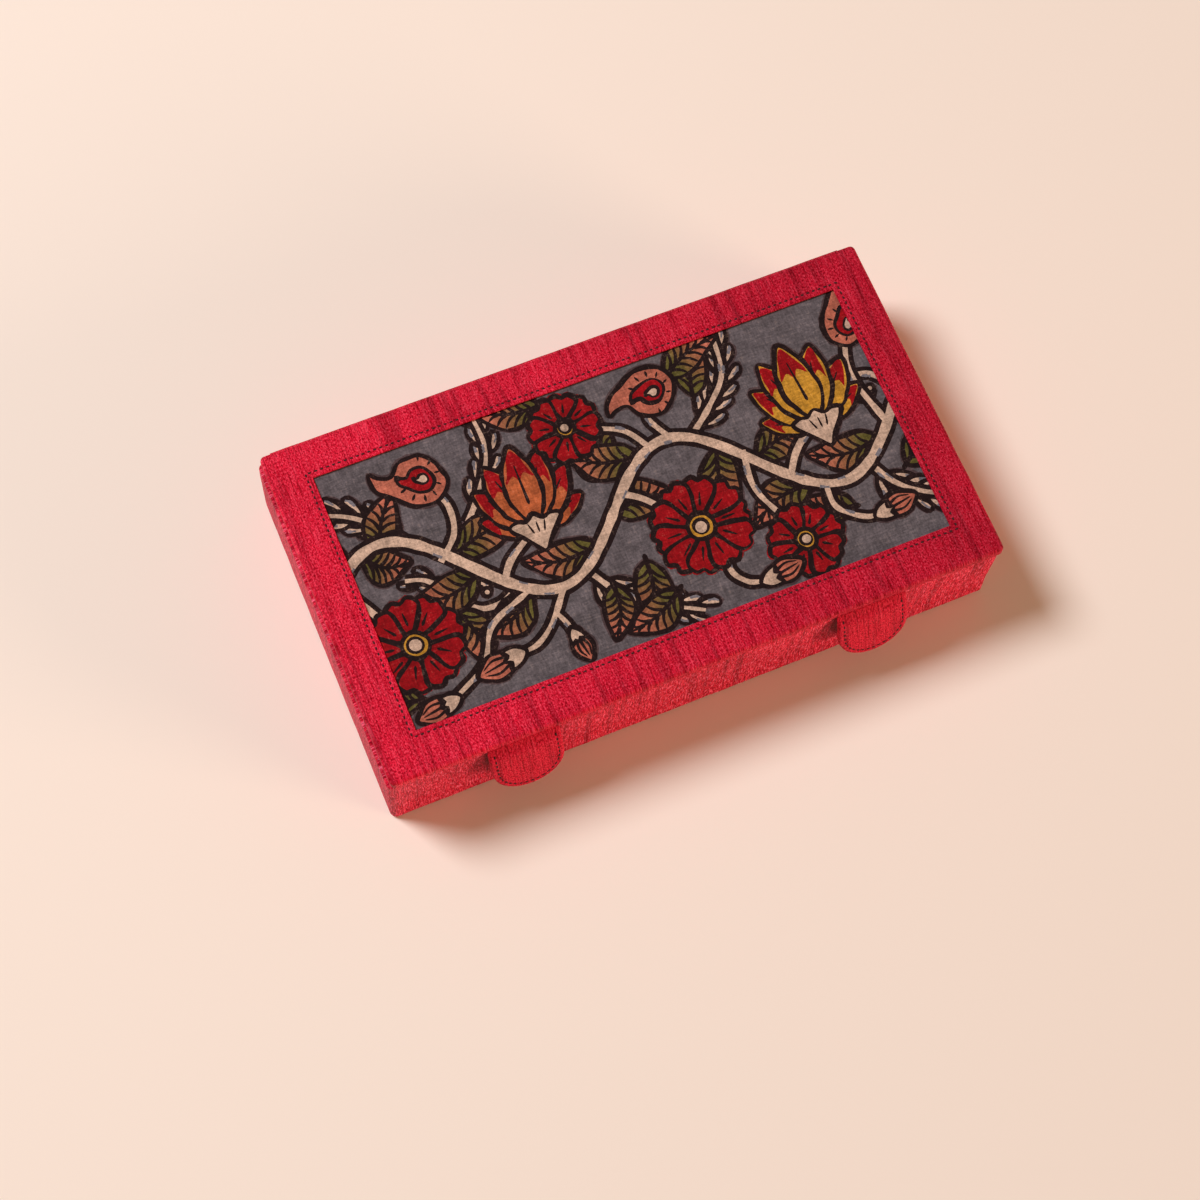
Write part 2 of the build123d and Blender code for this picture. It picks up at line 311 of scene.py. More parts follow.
def ripple(x, y, seed, size, reach):
    """Soft unevenness of handwork: a few slanting waves added up. size is its height, and reach
    the length of its shortest wave."""
    hand = random.Random(seed)
    total = np.zeros(np.broadcast(x, y).shape)
    for _ in range(WAVES):
        turn = hand.uniform(0, 2 * math.pi)
        length = reach * hand.uniform(1.0, 3.5)
        phase = hand.uniform(0, 2 * math.pi)
        total += np.sin((x * math.cos(turn) + y * math.sin(turn)) * 2 * math.pi / length + phase)
    return total * size / WAVES_HEIGHT


def eased(share):
    """A share from 0 to 1 that leaves 0 and reaches 1 gently."""
    return share * share * (3 - 2 * share)


def side_counts(low, high, spacing):
    """How many steps the long and the short sides of a loop take."""
    return tuple(max(2, int((high[i] - low[i]) / spacing)) for i in (0, 1))


def rounded_loop(low, high, radius, counts, arc=6):
    """Points anticlockwise round a rectangle with rounded corners, from the left end of its front
    side. Loops made with the same counts and arc can be joined point to point. arc is the number
    of steps round each corner."""
    radius = max(radius, SMALLEST_RADIUS)
    centres = [
        (high[0] - radius, low[1] + radius), (high[0] - radius, high[1] - radius),
        (low[0] + radius, high[1] - radius), (low[0] + radius, low[1] + radius),
    ]
    starts = [
        (low[0] + radius, low[1]), (high[0], low[1] + radius),
        (high[0] - radius, high[1]), (low[0], high[1] - radius),
    ]
    ends = [
        (high[0] - radius, low[1]), (high[0], high[1] - radius),
        (low[0] + radius, high[1]), (low[0], low[1] + radius),
    ]
    points = []
    for side in range(4):
        count = counts[side % 2]
        for k in range(count):
            t = k / count
            points.append(tuple(a * (1 - t) + b * t for a, b in zip(starts[side], ends[side])))
        for k in range(arc):
            turn = math.radians(-90 + 90 * side + 90 * k / arc)
            centre = centres[side]
            points.append(
                (centre[0] + radius * math.cos(turn), centre[1] + radius * math.sin(turn))
            )
    return np.array(points)


def run_of(line):
    """How far each point is along a line of points."""
    return np.concatenate([[0], np.cumsum(np.linalg.norm(np.diff(line, axis=0), axis=1))])


def unit_rows(vectors):
    """The same directions, each one long."""
    return vectors / np.maximum(np.linalg.norm(vectors, axis=1), 1e-9)[:, None]


def quarter(steps):
    """Sine and cosine pairs over a quarter turn, ends included."""
    return [
        (math.sin(math.pi / 2 * k / steps), math.cos(math.pi / 2 * k / steps))
        for k in range(steps + 1)
    ]


# Materials


def add(tree, kind, inputs=(), output=0, **settings):
    """Adds a node with its settings. inputs gives each input, by name or number, a value or the
    output that feeds it. Returns one output of the node."""
    made = tree.nodes.new("ShaderNode" + kind)
    for name, value in settings.items():
        setattr(made, name, value)
    for key, value in dict(inputs).items():
        socket = made.inputs[key]
        if isinstance(value, bpy.types.NodeSocket):
            tree.links.new(value, socket)
        elif socket.type == "RGBA":
            socket.default_value = (*tuple(value)[:3], 1.0)
        else:
            socket.default_value = value
    return made.outputs[output]


def new_material(name, shader, surface):
    """A material with a principled shader. shader holds the shader's own constants, and surface
    makes the nodes that feed the rest of its inputs, and returns them by name."""
    material = bpy.data.materials.new(name)
    material.use_nodes = True
    tree = material.node_tree
    tree.nodes.clear()
    fed = surface(tree) if surface else {}
    end = tree.nodes.new("ShaderNodeOutputMaterial")
    tree.links.new(add(tree, "BsdfPrincipled", {**shader, **fed}), end.inputs["Surface"])
    return material


def raw_silk(tree, lustre, depth, right_end_shade):
    """Uneven hand-reeled thread. Real threads are 0.2 to 0.3 mm apart: they are drawn 0.5 mm
    apart, as the finest that shows. Slubs are 0.8 mm wide and 15 to 20 mm long. lustre is the
    share of threads that gleam, painted in as highlights, depth how bright the colour is drawn on
    each copy of the cloth, as painted light, and the last argument how much of that brightness is
    left at the box's right-hand end, which faces away from the window: painted shade."""
    silk = bpy.context.scene.box_silk
    thread = silk.thread / MM
    cloth = add(tree, "UVMap", uv_map="cloth")
    place = add(tree, "VectorMath", {0: cloth, "Scale": 1 / MM}, operation="SCALE")
    # Each pattern: how often it changes in a millimetre, across the threads and along them, where
    # it starts, its detail and its roughness
    patterns = {
        "grain": ((0.95 / thread, 0.6 / thread), (0, 0), 3, 0.75),
        "hairs": ((1.7, 0.12), (8, 1), 2, 0.6),
        "slubs": ((1.2, 0.055), (5, 3), 3, 0.65),
        "glints": ((1.9, 0.34), (6, 7), 2, 0.65),
        "bars": ((0.35, 0.012), (2, 9), 3, 0.6),
        "tone": ((0.03, 0.03), (1, 4), 1, 0.5),
    }
    noise = {}
    for name, (often, offset, detail, rough) in patterns.items():
        drawn = add(tree, "Mapping", {0: place, "Scale": (*often, 1), "Location": (*offset, 0)})
        inputs = {0: drawn, "Scale": 1, "Detail": detail, "Roughness": rough}
        noise[name] = add(tree, "TexNoise", inputs)
    # Each layer: its pattern, the level where it starts and where it is full, its share of the
    # colour there, and its colour. Low levels are the gaps between threads, painted in shade, and high
    # ones the threads, painted in gleam and pink glints as highlights
    sparkle = max(0, lustre - 1)
    layers = (
        ("grain", 0.49, 0.39, 1, silk.shade),
        ("grain", 0.53, 0.62, min(1, 0.85 * lustre), silk.gleam),
        ("hairs", 0.56, 0.68, 0.42 * lustre, silk.gleam),
        ("hairs", 0.44, 0.33, 0.4 * lustre, silk.shade),
        ("slubs", 0.55, 0.75, 0.4 * lustre, silk.gleam),
        ("glints", 0.5, 0.38, sparkle, linear("#780822")),
        ("glints", 0.55, 0.66, sparkle, linear("#ff88aa")),
        ("slubs", 0.43, 0.33, 0.75, silk.shade),
    )
    colour = silk.colour
    for name, low, high, share, dye in layers:
        amount = add(tree, "MapRange", {0: noise[name], 1: low, 2: high, 3: 0, 4: share})
        colour = add(tree, "Mix", {0: amount, 6: colour, 7: dye}, 2, data_type="RGBA")
    # Dark bars where the weft is thick, which also stand in as painted shade of small creases
    # across the cloth, and a dye that took unevenly
    bars = add(tree, "MapRange", {0: noise["bars"], 1: 0.34, 2: 0.5, 3: 0.66, 4: 1.03})
    tone = add(
        tree, "MapRange", {0: noise["tone"], 1: 0.3, 2: 0.7, 3: 0.92 * depth, 4: 1.08 * depth}
    )
    # Painted shade: darker towards the box's right-hand end, 115 mm from its middle, which faces
    # away from the window, and a painted shadow on the wall behind each tab, where the tab shuts
    # against it
    spot = add(tree, "TexCoord", output="Object")
    right = add(tree, "SeparateXYZ", {0: spot})
    # Painted shade that deepens towards the right-hand end
    right_shade = add(tree, "MapRange", {0: right, 1: -80 * MM, 2: 115 * MM, 3: 1, 4: right_end_shade})
    # Painted shadow on the wall behind each tab, where the mesh marks it
    worn = add(tree, "Attribute", output=2, attribute_name="worn")
    tab_shadow = add(tree, "MapRange", {0: worn, 1: 0, 2: 1, 3: 1, 4: 0.38})
    for shade in (bars, tone, right_shade, tab_shadow):
        colour = add(tree, "VectorMath", {0: colour, "Scale": shade}, operation="SCALE")
    thick = add(tree, "Math", {0: noise["slubs"], 1: 1.3, 2: noise["grain"]}, operation="MULTIPLY_ADD")
    thick = add(tree, "Math", {0: thick, 1: noise["hairs"]}, operation="ADD")
    bump = add(tree, "Bump", {"Height": thick, "Strength": 0.8, "Distance": 0.35 * MM})
    rough = add(tree, "MapRange", {0: noise["grain"], 1: 0.4, 2: 0.65, 3: 0.6, 4: 0.42})
    return {"Base Color": colour, "Roughness": rough, "Normal": bump}


def painted_cotton(tree):
    """Plain cotton whose slubby threads show through matt dye, which pooled in blotches. Threads
    are drawn 0.8 mm apart, about twice their real spacing, as the finest that shows."""
    spot = add(tree, "TexCoord", output="Object")
    place = add(tree, "VectorMath", {0: spot, "Scale": 1 / MM}, operation="SCALE")
    paint = add(tree, "Attribute", attribute_name="paint")
    # Threads both ways: how often they change along each axis, in a millimetre, and their start
    runs = []
    for often, offset in (((1.4, 0.28, 0.2), (0, 0, 0)), ((0.28, 1.4, 0.2), (7, 3, 0))):
        drawn = add(tree, "Mapping", {0: place, "Scale": often, "Location": offset})
        runs.append(add(tree, "TexNoise", {0: drawn, "Scale": 1, "Detail": 3, "Roughness": 0.7}))
    threads = add(tree, "Math", {0: runs[0], 1: runs[1]}, operation="ADD")
    # Dye pooled in blotches some 6 mm wide, and in specks under a millimetre
    pool = add(tree, "TexNoise", {0: place, "Scale": 0.16, "Detail": 4, "Roughness": 0.62})
    speck = add(tree, "TexNoise", {0: place, "Scale": 1.3, "Detail": 2, "Roughness": 0.7})
    weave = add(tree, "MapRange", {0: threads, 1: 0.8, 2: 1.2, 3: 0.7, 4: 1.17})
    cloud = add(tree, "MapRange", {0: pool, 1: 0.34, 2: 0.66, 3: 0.74, 4: 1.2})
    dots = add(tree, "MapRange", {0: speck, 1: 0.3, 2: 0.7, 3: 0.8, 4: 1.2})
    colour = paint
    for shade in (weave, cloud, dots):
        colour = add(tree, "VectorMath", {0: colour, "Scale": shade}, operation="SCALE")
    # Bare thread shows where the paint has worn off the crossings
    worn = add(tree, "MapRange", {0: threads, 1: 1.12, 2: 1.3, 3: 0, 4: 0.12})
    pale = bpy.context.scene.box_paint.cream
    colour = add(tree, "Mix", {0: worn, 6: colour, 7: pale}, 2, data_type="RGBA")
    height = add(tree, "Math", {0: threads, 1: speck}, operation="ADD")
    bump = add(tree, "Bump", {"Height": height, "Strength": 0.5, "Distance": 0.15 * MM})
    return {"Base Color": colour, "Normal": bump}


def lining_cotton(tree, colour):
    """An even plain weave, drawn 1 mm from thread to thread, about three times its real spacing,
    as the finest that shows. It is turned a little off the box's sides, as cut cloth is."""
    spot = add(tree, "TexCoord", output="Object")
    place = add(tree, "VectorMath", {0: spot, "Scale": 1 / MM}, operation="SCALE")
    place = add(tree, "Mapping", {0: place, "Rotation": (0.02, 0.03, 0.02)})
    axes = [add(tree, "SeparateXYZ", {0: place}, i) for i in range(3)]
    around = add(tree, "Math", {0: axes[0], 1: axes[1]}, operation="ADD")
    upward = add(tree, "Math", {0: axes[1], 1: axes[2]}, operation="ADD")
    waves = []
    for line in (around, upward):
        turn = add(tree, "Math", {0: line, 1: 2 * math.pi}, operation="MULTIPLY")
        waves.append(add(tree, "Math", {0: turn}, operation="SINE"))
    crossing = add(tree, "Math", {0: waves[0], 1: waves[1]}, operation="MULTIPLY")
    uneven = add(tree, "TexNoise", {0: place, "Scale": 0.9, "Detail": 3, "Roughness": 0.7})
    threads = add(tree, "Math", {0: crossing, 1: 0.12, 2: uneven}, operation="MULTIPLY_ADD")
    shade = add(tree, "MapRange", {0: threads, 1: 0.25, 2: 0.75, 3: 0.68, 4: 1.3})
    colour = add(tree, "VectorMath", {0: colour, "Scale": shade}, operation="SCALE")
    bump = add(tree, "Bump", {"Height": threads, "Strength": 0.5, "Distance": 0.2 * MM})
    return {"Base Color": colour, "Normal": bump}


def sewing_thread(tree):
    """Two plies, twisted tightly enough to show as fine slanting shade."""
    spot = add(tree, "TexCoord", output="Object")
    twist = add(tree, "TexNoise", {0: spot, "Scale": 3 / MM, "Detail": 2})
    share = add(tree, "MapRange", {0: twist, 1: 0.35, 2: 0.65, 3: 0, 4: 1})
    dye = bpy.context.scene.box_stitch.colour
    colour = add(tree, "Mix", {0: share, 6: dye, 7: linear("#4a0f1a")}, 2, data_type="RGBA")
    return {"Base Color": colour}


def pressed_board(tree, dark, light, speck):
    """Fibres pressed flat: specks of light and dark, longer one way. speck is per millimetre."""
    spot = add(tree, "TexCoord", output="Object")
    place = add(tree, "Mapping", {0: spot, "Scale": (speck / MM, 0.5 * speck / MM, speck / MM)})
    fibre = add(tree, "TexNoise", {0: place, "Scale": 1, "Detail": 5, "Roughness": 0.7})
    share = add(tree, "MapRange", {0: fibre, 1: 0.32, 2: 0.68, 3: 0, 4: 1})
    colour = add(tree, "Mix", {0: share, 6: linear(dark), 7: linear(light)}, 2, data_type="RGBA")
    bump = add(tree, "Bump", {"Height": fibre, "Strength": 0.3, "Distance": 0.1 * MM})
    return {"Base Color": colour, "Normal": bump}


def nickel_plate(tree):
    """Bright plating with faint rubbing marks, 0.2 mm apart."""
    spot = add(tree, "TexCoord", output="Object")
    place = add(tree, "Mapping", {0: spot, "Scale": (1.2 / MM, 5 / MM, 5 / MM)})
    marks = add(tree, "TexNoise", {0: place, "Scale": 1, "Detail": 3})
    share = add(tree, "MapRange", {0: marks, 1: 0.3, 2: 0.7, 3: 0, 4: 1})
    colour = add(
        tree, "Mix", {0: share, 6: linear("#b9b2a4"), 7: linear("#d8d3c8")}, 2, data_type="RGBA"
    )
    rough = add(tree, "MapRange", {0: marks, 1: 0.3, 2: 0.7, 3: 0.22, 4: 0.4})
    return {"Base Color": colour, "Roughness": rough}


# Silk's low red lustre, with a faint bloom of fibre ends
SILK_LUSTRE = {
    "Specular IOR Level": 0.15,
    "Specular Tint": (1.0, 0.2, 0.25),
    "Sheen Weight": 0.02,
    "Sheen Roughness": 0.4,
    "Sheen Tint": (1.0, 0.3, 0.35),
}

# Each finish: the real material's name, its shader's constants and the nodes of its surface
FINISHES = {
    # Dupion, woven from uneven thread: a low lustre, painted sparks of light and slubs that run one
    # way, with painted shade towards the box's right-hand end
    "raw_silk": ("raw_silk_dupion", SILK_LUSTRE, lambda tree: raw_silk(tree, 1.0, 1.05, 0.68)),
    # The same cloth round the walls, drawn as a lit copy: more painted gleam, and painted pink glints
    # and dark gaps where the grazing light catches its long threads
    "wall_silk": ("raw_silk_dupion_walls", SILK_LUSTRE, lambda tree: raw_silk(tree, 1.62, 1.06, 1.04)),
    # The same cloth on the tabs, drawn a little darker and with fewer painted gleaming threads
    "tab_silk": ("raw_silk_dupion_tabs", SILK_LUSTRE, lambda tree: raw_silk(tree, 0.65, 0.96, 1.0)),
    # Cotton painted by brush with plant dyes: matt and soft, with a visible weave
    "painted_cotton": (
        "hand_painted_cotton", {"Roughness": 0.92, "Specular IOR Level": 0.15}, painted_cotton
    ),
    # Plain cotton, piece-dyed: matt, even and a little dusty
    "lining_cotton": (
        "plain_woven_cotton",
        {"Roughness": 0.9, "Specular IOR Level": 0.15, "Sheen Weight": 0.15},
        lambda tree: lining_cotton(tree, tuple(bpy.context.scene.box_lining.colour)),
    ),
    # The same cotton in near black, a painted shadow that keeps the gap behind each tab dark
    "tab_facing": (
        "dark_woven_cotton",
        {"Roughness": 0.92, "Specular IOR Level": 0.1},
        lambda tree: lining_cotton(tree, linear("#2e0a0e")),
    ),
    # Mercerised cotton thread: dark, with a slight lustre
    "sewing_thread": ("sewing_thread", {"Roughness": 0.6, "Specular IOR Level": 0.3}, sewing_thread),
    # Medium-density fibreboard: even brown, matt
    "mdf_board": (
        "fibreboard", {"Roughness": 0.85}, lambda tree: pressed_board(tree, "#7d5a3a", "#a98259", 0.9)
    ),
    # Board pressed from waste paper: grey, with flecks
    "mill_board": (
        "grey_mill_board", {"Roughness": 0.9}, lambda tree: pressed_board(tree, "#5f5a54", "#8c867e", 0.7)
    ),
    # Embossed paper glued under the box: deep red, with a faint gloss
    "underside_paper": (
        "embossed_paper", {"Roughness": 0.7}, lambda tree: pressed_board(tree, "#3a0e14", "#5a1a21", 0.8)
    ),
    # Carded cotton: off-white and fluffy
    "wadding": (
        "cotton_wadding", {"Roughness": 1.0}, lambda tree: pressed_board(tree, "#cfc8b8", "#ece7db", 0.35)
    ),
    # Nickel over a pressed magnet: a warm grey metal
    "nickel_magnet": ("nickel_plate", {"Metallic": 1.0}, nickel_plate),
}


def finish(name):
    """The material of that name, made once."""
    real_name, shader, surface = FINISHES[name]
    return bpy.data.materials.get(real_name) or new_material(real_name, shader, surface)


# The stage


class BOX_OT_stage(bpy.types.Operator):
    """Lays the floor and sets the lamps and the camera"""

    bl_idname = "box.stage"
    bl_label = "Stage"

    # The camera's place in metres, its turn in degrees and its lens in millimetres
    camera_place = (-0.1674, -0.27965, 0.83372)
    camera_turn = (19.843, -2.599, -22.712)
    lens = 73.9
    sensor = 36.0
    nearest = 0.01
    # The floor's width in metres, its colour, and the colour and strength of the room's light
    floor_size = 12.0
    floor_colour = "#f8ece0"
    room_colour = "#ffcfa4"
    room_strength = 0.24
    # Each lamp's name, place, width, power and colour
    lamps = (
        ("window_light", (-1.44, 1.368, 2.43), 1.19, 87.5, "#f9faff"),
        ("front_light", (2.2, -2.2, 0.42), 1.3, 78.0, "#ffdcc2"),
    )

    def execute(self, context):
        bpy.ops.object.select_all(action="DESELECT")
        bpy.ops.mesh.primitive_plane_add(size=self.floor_size, location=(0, 0, 0))
        floor = context.active_object
        floor.name = "floor"
        pale = {"Base Color": linear(self.floor_colour), "Roughness": 0.95, "Specular IOR Level": 0.1}
        floor.data.materials.append(new_material("pale_floor", pale, None))
        for name, place, width, power, colour in self.lamps:
            turn = (-Vector(place)).to_track_quat("-Z", "Y").to_euler()
            bpy.ops.object.light_add(type="AREA", location=place, rotation=turn)
            lamp = context.active_object
            lamp.name = name
            lamp.data.shape = "DISK"
            lamp.data.size = width
            lamp.data.energy = power
            lamp.data.color = linear(colour)
        world = bpy.data.worlds.new("studio")
        world.use_nodes = True
        light = world.node_tree.nodes["Background"]
        light.inputs["Color"].default_value = (*linear(self.room_colour), 1.0)
        light.inputs["Strength"].default_value = self.room_strength
        context.scene.world = world
        turn = tuple(math.radians(angle) for angle in self.camera_turn)
        bpy.ops.object.camera_add(location=self.camera_place, rotation=turn)
        camera = context.active_object
        camera.data.lens = self.lens
        camera.data.sensor_width = self.sensor
        camera.data.clip_start = self.nearest
        context.scene.camera = camera
        context.scene.view_settings.view_transform = "Standard"
        return {"FINISHED"}


# The lid's silk

# How far the fold at the window bulges, and the radius of the lid's lower edge
WINDOW_FOLD = 0.35
LID_FOOT = 0.45
# Height over which the unevenness of the lid's top dies out at its edges
EDGE_FADE = 0.6


def lid_profile(silk):
    """Rows of the lid's silk from the hem under the window's edge, over the top and down to the
    turn-in. Each is the edge that it follows, how far it lies from that edge, and its height."""
    top = LID_HIGH[2]
    bottom = LID_LOW[2]
    roll = silk.lid_roll / MM
    # The hem lies just clear of the painted cotton, and fold is half the folded edge's height
    hem = PANEL_HIGH[2] + 0.06
    fold = (top - hem) / 2
    rows = [("window", 6.0, hem), ("window", 3.0, hem)]
    rows += [("window", WINDOW_FOLD * (1 - s), hem + fold * (1 - c)) for s, c in quarter(3)]
    rows += [("window", WINDOW_FOLD * (1 - c), hem + fold * (1 + s)) for s, c in quarter(3)[1:]]
    # Close together by the seam, which pulls the silk down
    for reach in (0.9, 1.4, 1.8, 2.1, 2.4, 2.8, 3.4, 4.4, 5.8, 7.4, 9.0, 10.6, 12.0):
        rows.append(("window", reach, top))
    rows += [("edge", roll * (1 - s), top - roll * (1 - c)) for s, c in quarter(5)]
    for share in (0.25, 0.5, 0.75):
        rows.append(("edge", 0.0, (top - roll) * (1 - share) + (bottom + LID_FOOT) * share))
    rows += [("edge", LID_FOOT * (1 - c), bottom + LID_FOOT * (1 - s)) for s, c in quarter(4)]
    rows += [("edge", inset, bottom) for inset in (3.0, 7.0, 11.5)]
    return rows


def bell(distance, reach, height):
    """A soft ridge of that height, or a groove if height is below zero, reach wide each way."""
    return height * np.exp(-((distance / reach) ** 2))


def lid_top_relief(x, y, from_window):
    """Height that handwork adds to the lid's silk: a dip at the seam, a soft rise over the hem on
    each side of it and a few creases across the front and back borders."""
    inset = bpy.context.scene.box_stitch.inset / MM
    relief = bell(from_window - inset, 0.5, -0.16)
    relief += bell(from_window - 0.9, 0.6, 0.10)
    relief += bell(from_window - 4.2, 1.4, 0.12)
    waves = ripple(x, y, 3, 0.05, 11.0) + ripple(x, y, 8, 0.03, 4.0)
    creases = np.zeros_like(waves)
    hand = random.Random(21)
    for side in (-1, 1):
        # The border starts some 47 mm from the lid's middle and is reached in full 3 mm on
        near = np.clip((side * y - 47) / 3, 0, 1)
        for _ in range(7):
            at = hand.uniform(-105, 105)
            lean = hand.uniform(-0.12, 0.12)
            strip = x - at - lean * (np.abs(y) - 50)
            creases += bell(strip, 0.5, -hand.uniform(0.12, 0.3)) * near
    # At the window's folded edge the silk is held still
    return relief + (waves + creases) * np.clip(from_window / 1.5, 0, 1)


class BOX_OT_lid_silk(bpy.types.Operator):
    """Wraps the lid in one sheet of silk with a hemmed window"""

    bl_idname = "box.lid_silk"
    bl_label = "Lid silk"

    def execute(self, context):
        silk = context.scene.box_silk
        low, high = LID_LOW[:2], LID_HIGH[:2]
        counts = side_counts(low, high, 0.8)
        corner = silk.corner / MM
        rows, spots = [], []
        for kind, reach, height in lid_profile(silk):
            if kind == "window":
                # The window's corners are cut sharp
                radius = 0.25 + reach * 0.1
                flat = rounded_loop(WINDOW_LOW - reach, WINDOW_HIGH + reach, radius, counts)
            else:
                flat = rounded_loop(low + reach, high - reach, max(corner - reach, 0.3), counts)
            x, y = flat.T
            below = LID_HIGH[2] - height
            in_fold = kind == "window" and reach < WINDOW_FOLD + 0.01
            on_top = below < EDGE_FADE and not in_fold
            lift = lid_top_relief(x, y, from_window(x, y)) if on_top else 0.0
            if kind == "edge":
                lift = lift * np.clip(1 - below / EDGE_FADE, 0, 1)
            z = np.full(len(x), height) + lift
            if kind == "edge" and reach < 3.0:
                # The lid's sides are a little uneven
                out = flat - (low + high) / 2
                out /= np.linalg.norm(out, axis=1)[:, None]
                flat = flat + out * ripple(x, y, 14, 0.05, 9.0)[:, None]
            rows.append(np.column_stack([flat, z]))
            spots.append(unrolled(flat, height, kind, reach))
        faces = grid_faces(len(rows), len(rows[0]), True, flip=True)
        mesh = mesh_from("lid_silk", np.vstack(rows), faces, np.vstack(spots))
        piece = new_object("lid_silk", mesh)
        apply_modifier(piece, "SOLIDIFY", thickness=silk.thickness, offset=-1.0)
        smooth(piece)
        dress(piece, finish("raw_silk"), "lid")
        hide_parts("lid_cover")
        return {"FINISHED"}


def from_window(x, y):
    """Distance outside the window's edge."""
    dx = np.maximum(WINDOW_LOW[0] - x, x - WINDOW_HIGH[0])
    dy = np.maximum(WINDOW_LOW[1] - y, y - WINDOW_HIGH[1])
    return np.where((dx > 0) & (dy > 0), np.hypot(dx, dy), np.maximum(dx, dy))


def side_gaps(flat, low, high):
    """How far points lie past the left, right, front and back sides of a rectangle."""
    x, y = flat.T
    return np.stack([low[0] - x, x - high[0], low[1] - y, y - high[1]], 1)


# Outwards from those sides
SIDES = np.array([(-1.0, 0.0), (1.0, 0.0), (0.0, -1.0), (0.0, 1.0)])


def unrolled(flat, height, kind, reach):
    """Where points of the lid's silk lay on the flat sheet, with the slubs along Y."""
    below = LID_HIGH[2] - height
    if kind == "window" or below < 0.01:
        return flat
    side = side_gaps(flat, LID_LOW, LID_HIGH).argmax(1)
    return flat + SIDES[side] * (below + 2 * reach)


# The wall's silk


class BOX_OT_wall_silk(bpy.types.Operator):
    """Wraps the four walls in one band of silk, over the rim and under the floor"""

    bl_idname = "box.wall_silk"
    bl_label = "Wall silk"

    # How far the silk stands off the boards at the two ends, and at the foot of the front wall
    end_fullness = 1.3
    foot_flare = 1.0
    foot_height = 11.0
    # Width of the rim, how far the silk reaches down inside it and under the floor, the radius of
    # its bends, and the number of steps up the wall
    rim_width = 4.0
    overlap = 8.0
    bend = 0.8
    wall_steps = 28

    def execute(self, context):
        silk = context.scene.box_silk
        low, high = BASE_LOW[:2], BASE_HIGH[:2]
        bottom, rim = BASE_LOW[2], BASE_HIGH[2]
        corner = silk.corner / MM
        counts = side_counts(low, high, 1.1)
        inner, bend = self.rim_width, self.bend
        # Each row, from inside the rim to under the floor: how far it lies inside the wall's
        # outer face, and its height
        rows = [(inner, rim - self.overlap), (inner, rim - self.overlap / 2)]
        rows += [(inner - bend * (1 - c), rim - bend * (1 - s)) for s, c in quarter(4)]
        rows += [(inner / 2, rim)]
        rows += [(bend * (1 - s), rim - bend * (1 - c)) for s, c in quarter(4)]
        steps = self.wall_steps
        rows += [(0.0, rim + (bottom - rim) * k / steps) for k in range(1, steps)]
        rows += [(bend * (1 - c), bottom + bend * (1 - s)) for s, c in quarter(4)]
        rows += [(4.0, bottom), (7.8, bottom)]
        around = rounded_loop(low, high, corner, counts)
        walked = run_of(around)
        points, spots = [], []
        for inset, height in rows:
            inside_low, inside_high = low + inset, high - inset
            spot = rounded_loop(inside_low, inside_high, max(corner - inset, 0.35), counts)
            level = np.full(len(spot), height)
            if inset < 1.0:
                # The wall's outer face: a slight swell, fuller ends and a flared foot in front
                full = math.sin(math.pi * min(1, max(0, (height - bottom) / (rim - bottom))))
                swell = 0.10 * full + ripple(walked, level, 31, 0.05, 8.0)
                at_front = np.clip((low[1] + 3 - spot[:, 1]) / 3, 0, 1)
                spot = spot + face_normals(spot, inside_low, inside_high) * swell[:, None]
                spot[:, 0] *= 1 + self.end_fullness / high[0]
                spot[:, 1] -= self.foot_flare * at_front * max(0, 1 - height / self.foot_height)
            points.append(np.column_stack([spot, level]))
            spots.append(np.column_stack([walked, level - inset]))
        points = np.vstack(points)
        faces = grid_faces(len(rows), len(around), True, flip=True)
        length = walked[-1] + np.linalg.norm(around[0] - around[-1])
        corners = corner_uv(np.vstack(spots), faces, len(around), length)
        piece = new_object("wall_silk", mesh_from("wall_silk", points, faces, corners))
        apply_modifier(piece, "SOLIDIFY", thickness=silk.thickness, offset=-1.0)
        smooth(piece)
        # Painted shadow in the gap behind each tab
        paint_tab_shadows(piece)
        dress(piece, finish("wall_silk"), "base")
        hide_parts("wall_cover")
        return {"FINISHED"}


# A painted tab shadow is this much smaller than its tab, lies this far to its left and has a soft edge
PATCH_INSET = 0.4
PATCH_SHIFT = 0.8
PATCH_EDGE = 2.5


def paint_tab_shadows(piece):
    """Marks a painted shadow on the wall's silk where each tab shuts against it, in the gap behind the tab."""
    mesh = piece.data
    spots = np.empty(len(mesh.vertices) * 3)
    mesh.vertices.foreach_get("co", spots)
    x, y, z = spots.reshape(-1, 3).T / MM
    in_front = y < BASE_LOW[1] + 2
    worn = np.zeros(len(x))
    for axis in TABS.values():
        radius = TabShape.width / 2 - PATCH_INSET
        centre = axis[2] - TabShape.length + TabShape.width / 2
        away = np.hypot(x - axis[0] + PATCH_SHIFT, np.minimum(z - centre, 0))
        share = np.clip((radius - away) / PATCH_EDGE + 0.5, 0, 1) * in_front
        worn = np.maximum(worn, share)
    mesh.attributes.new("worn", "FLOAT", "POINT").data.foreach_set("value", worn.astype(np.float32))


def face_normals(flat, low, high):
    """Outward directions of the rectangle's sides, which turn smoothly over half a millimetre at
    its corners."""
    weight = np.exp(side_gaps(flat, low, high) / 0.5)
    return unit_rows(weight @ SIDES)


def corner_uv(uv, faces, columns, length):
    """Places on the cloth for each corner of each face, so that the band's last column of faces
    ends at its full length instead of running back to the start."""
    out = []
    for face in faces:
        wraps = any(i % columns == columns - 1 for i in face)
        for i in face:
            u, v = uv[i]
            out.append((u + length if wraps and i % columns == 0 else u, v))
    return np.array(out)


# The painting


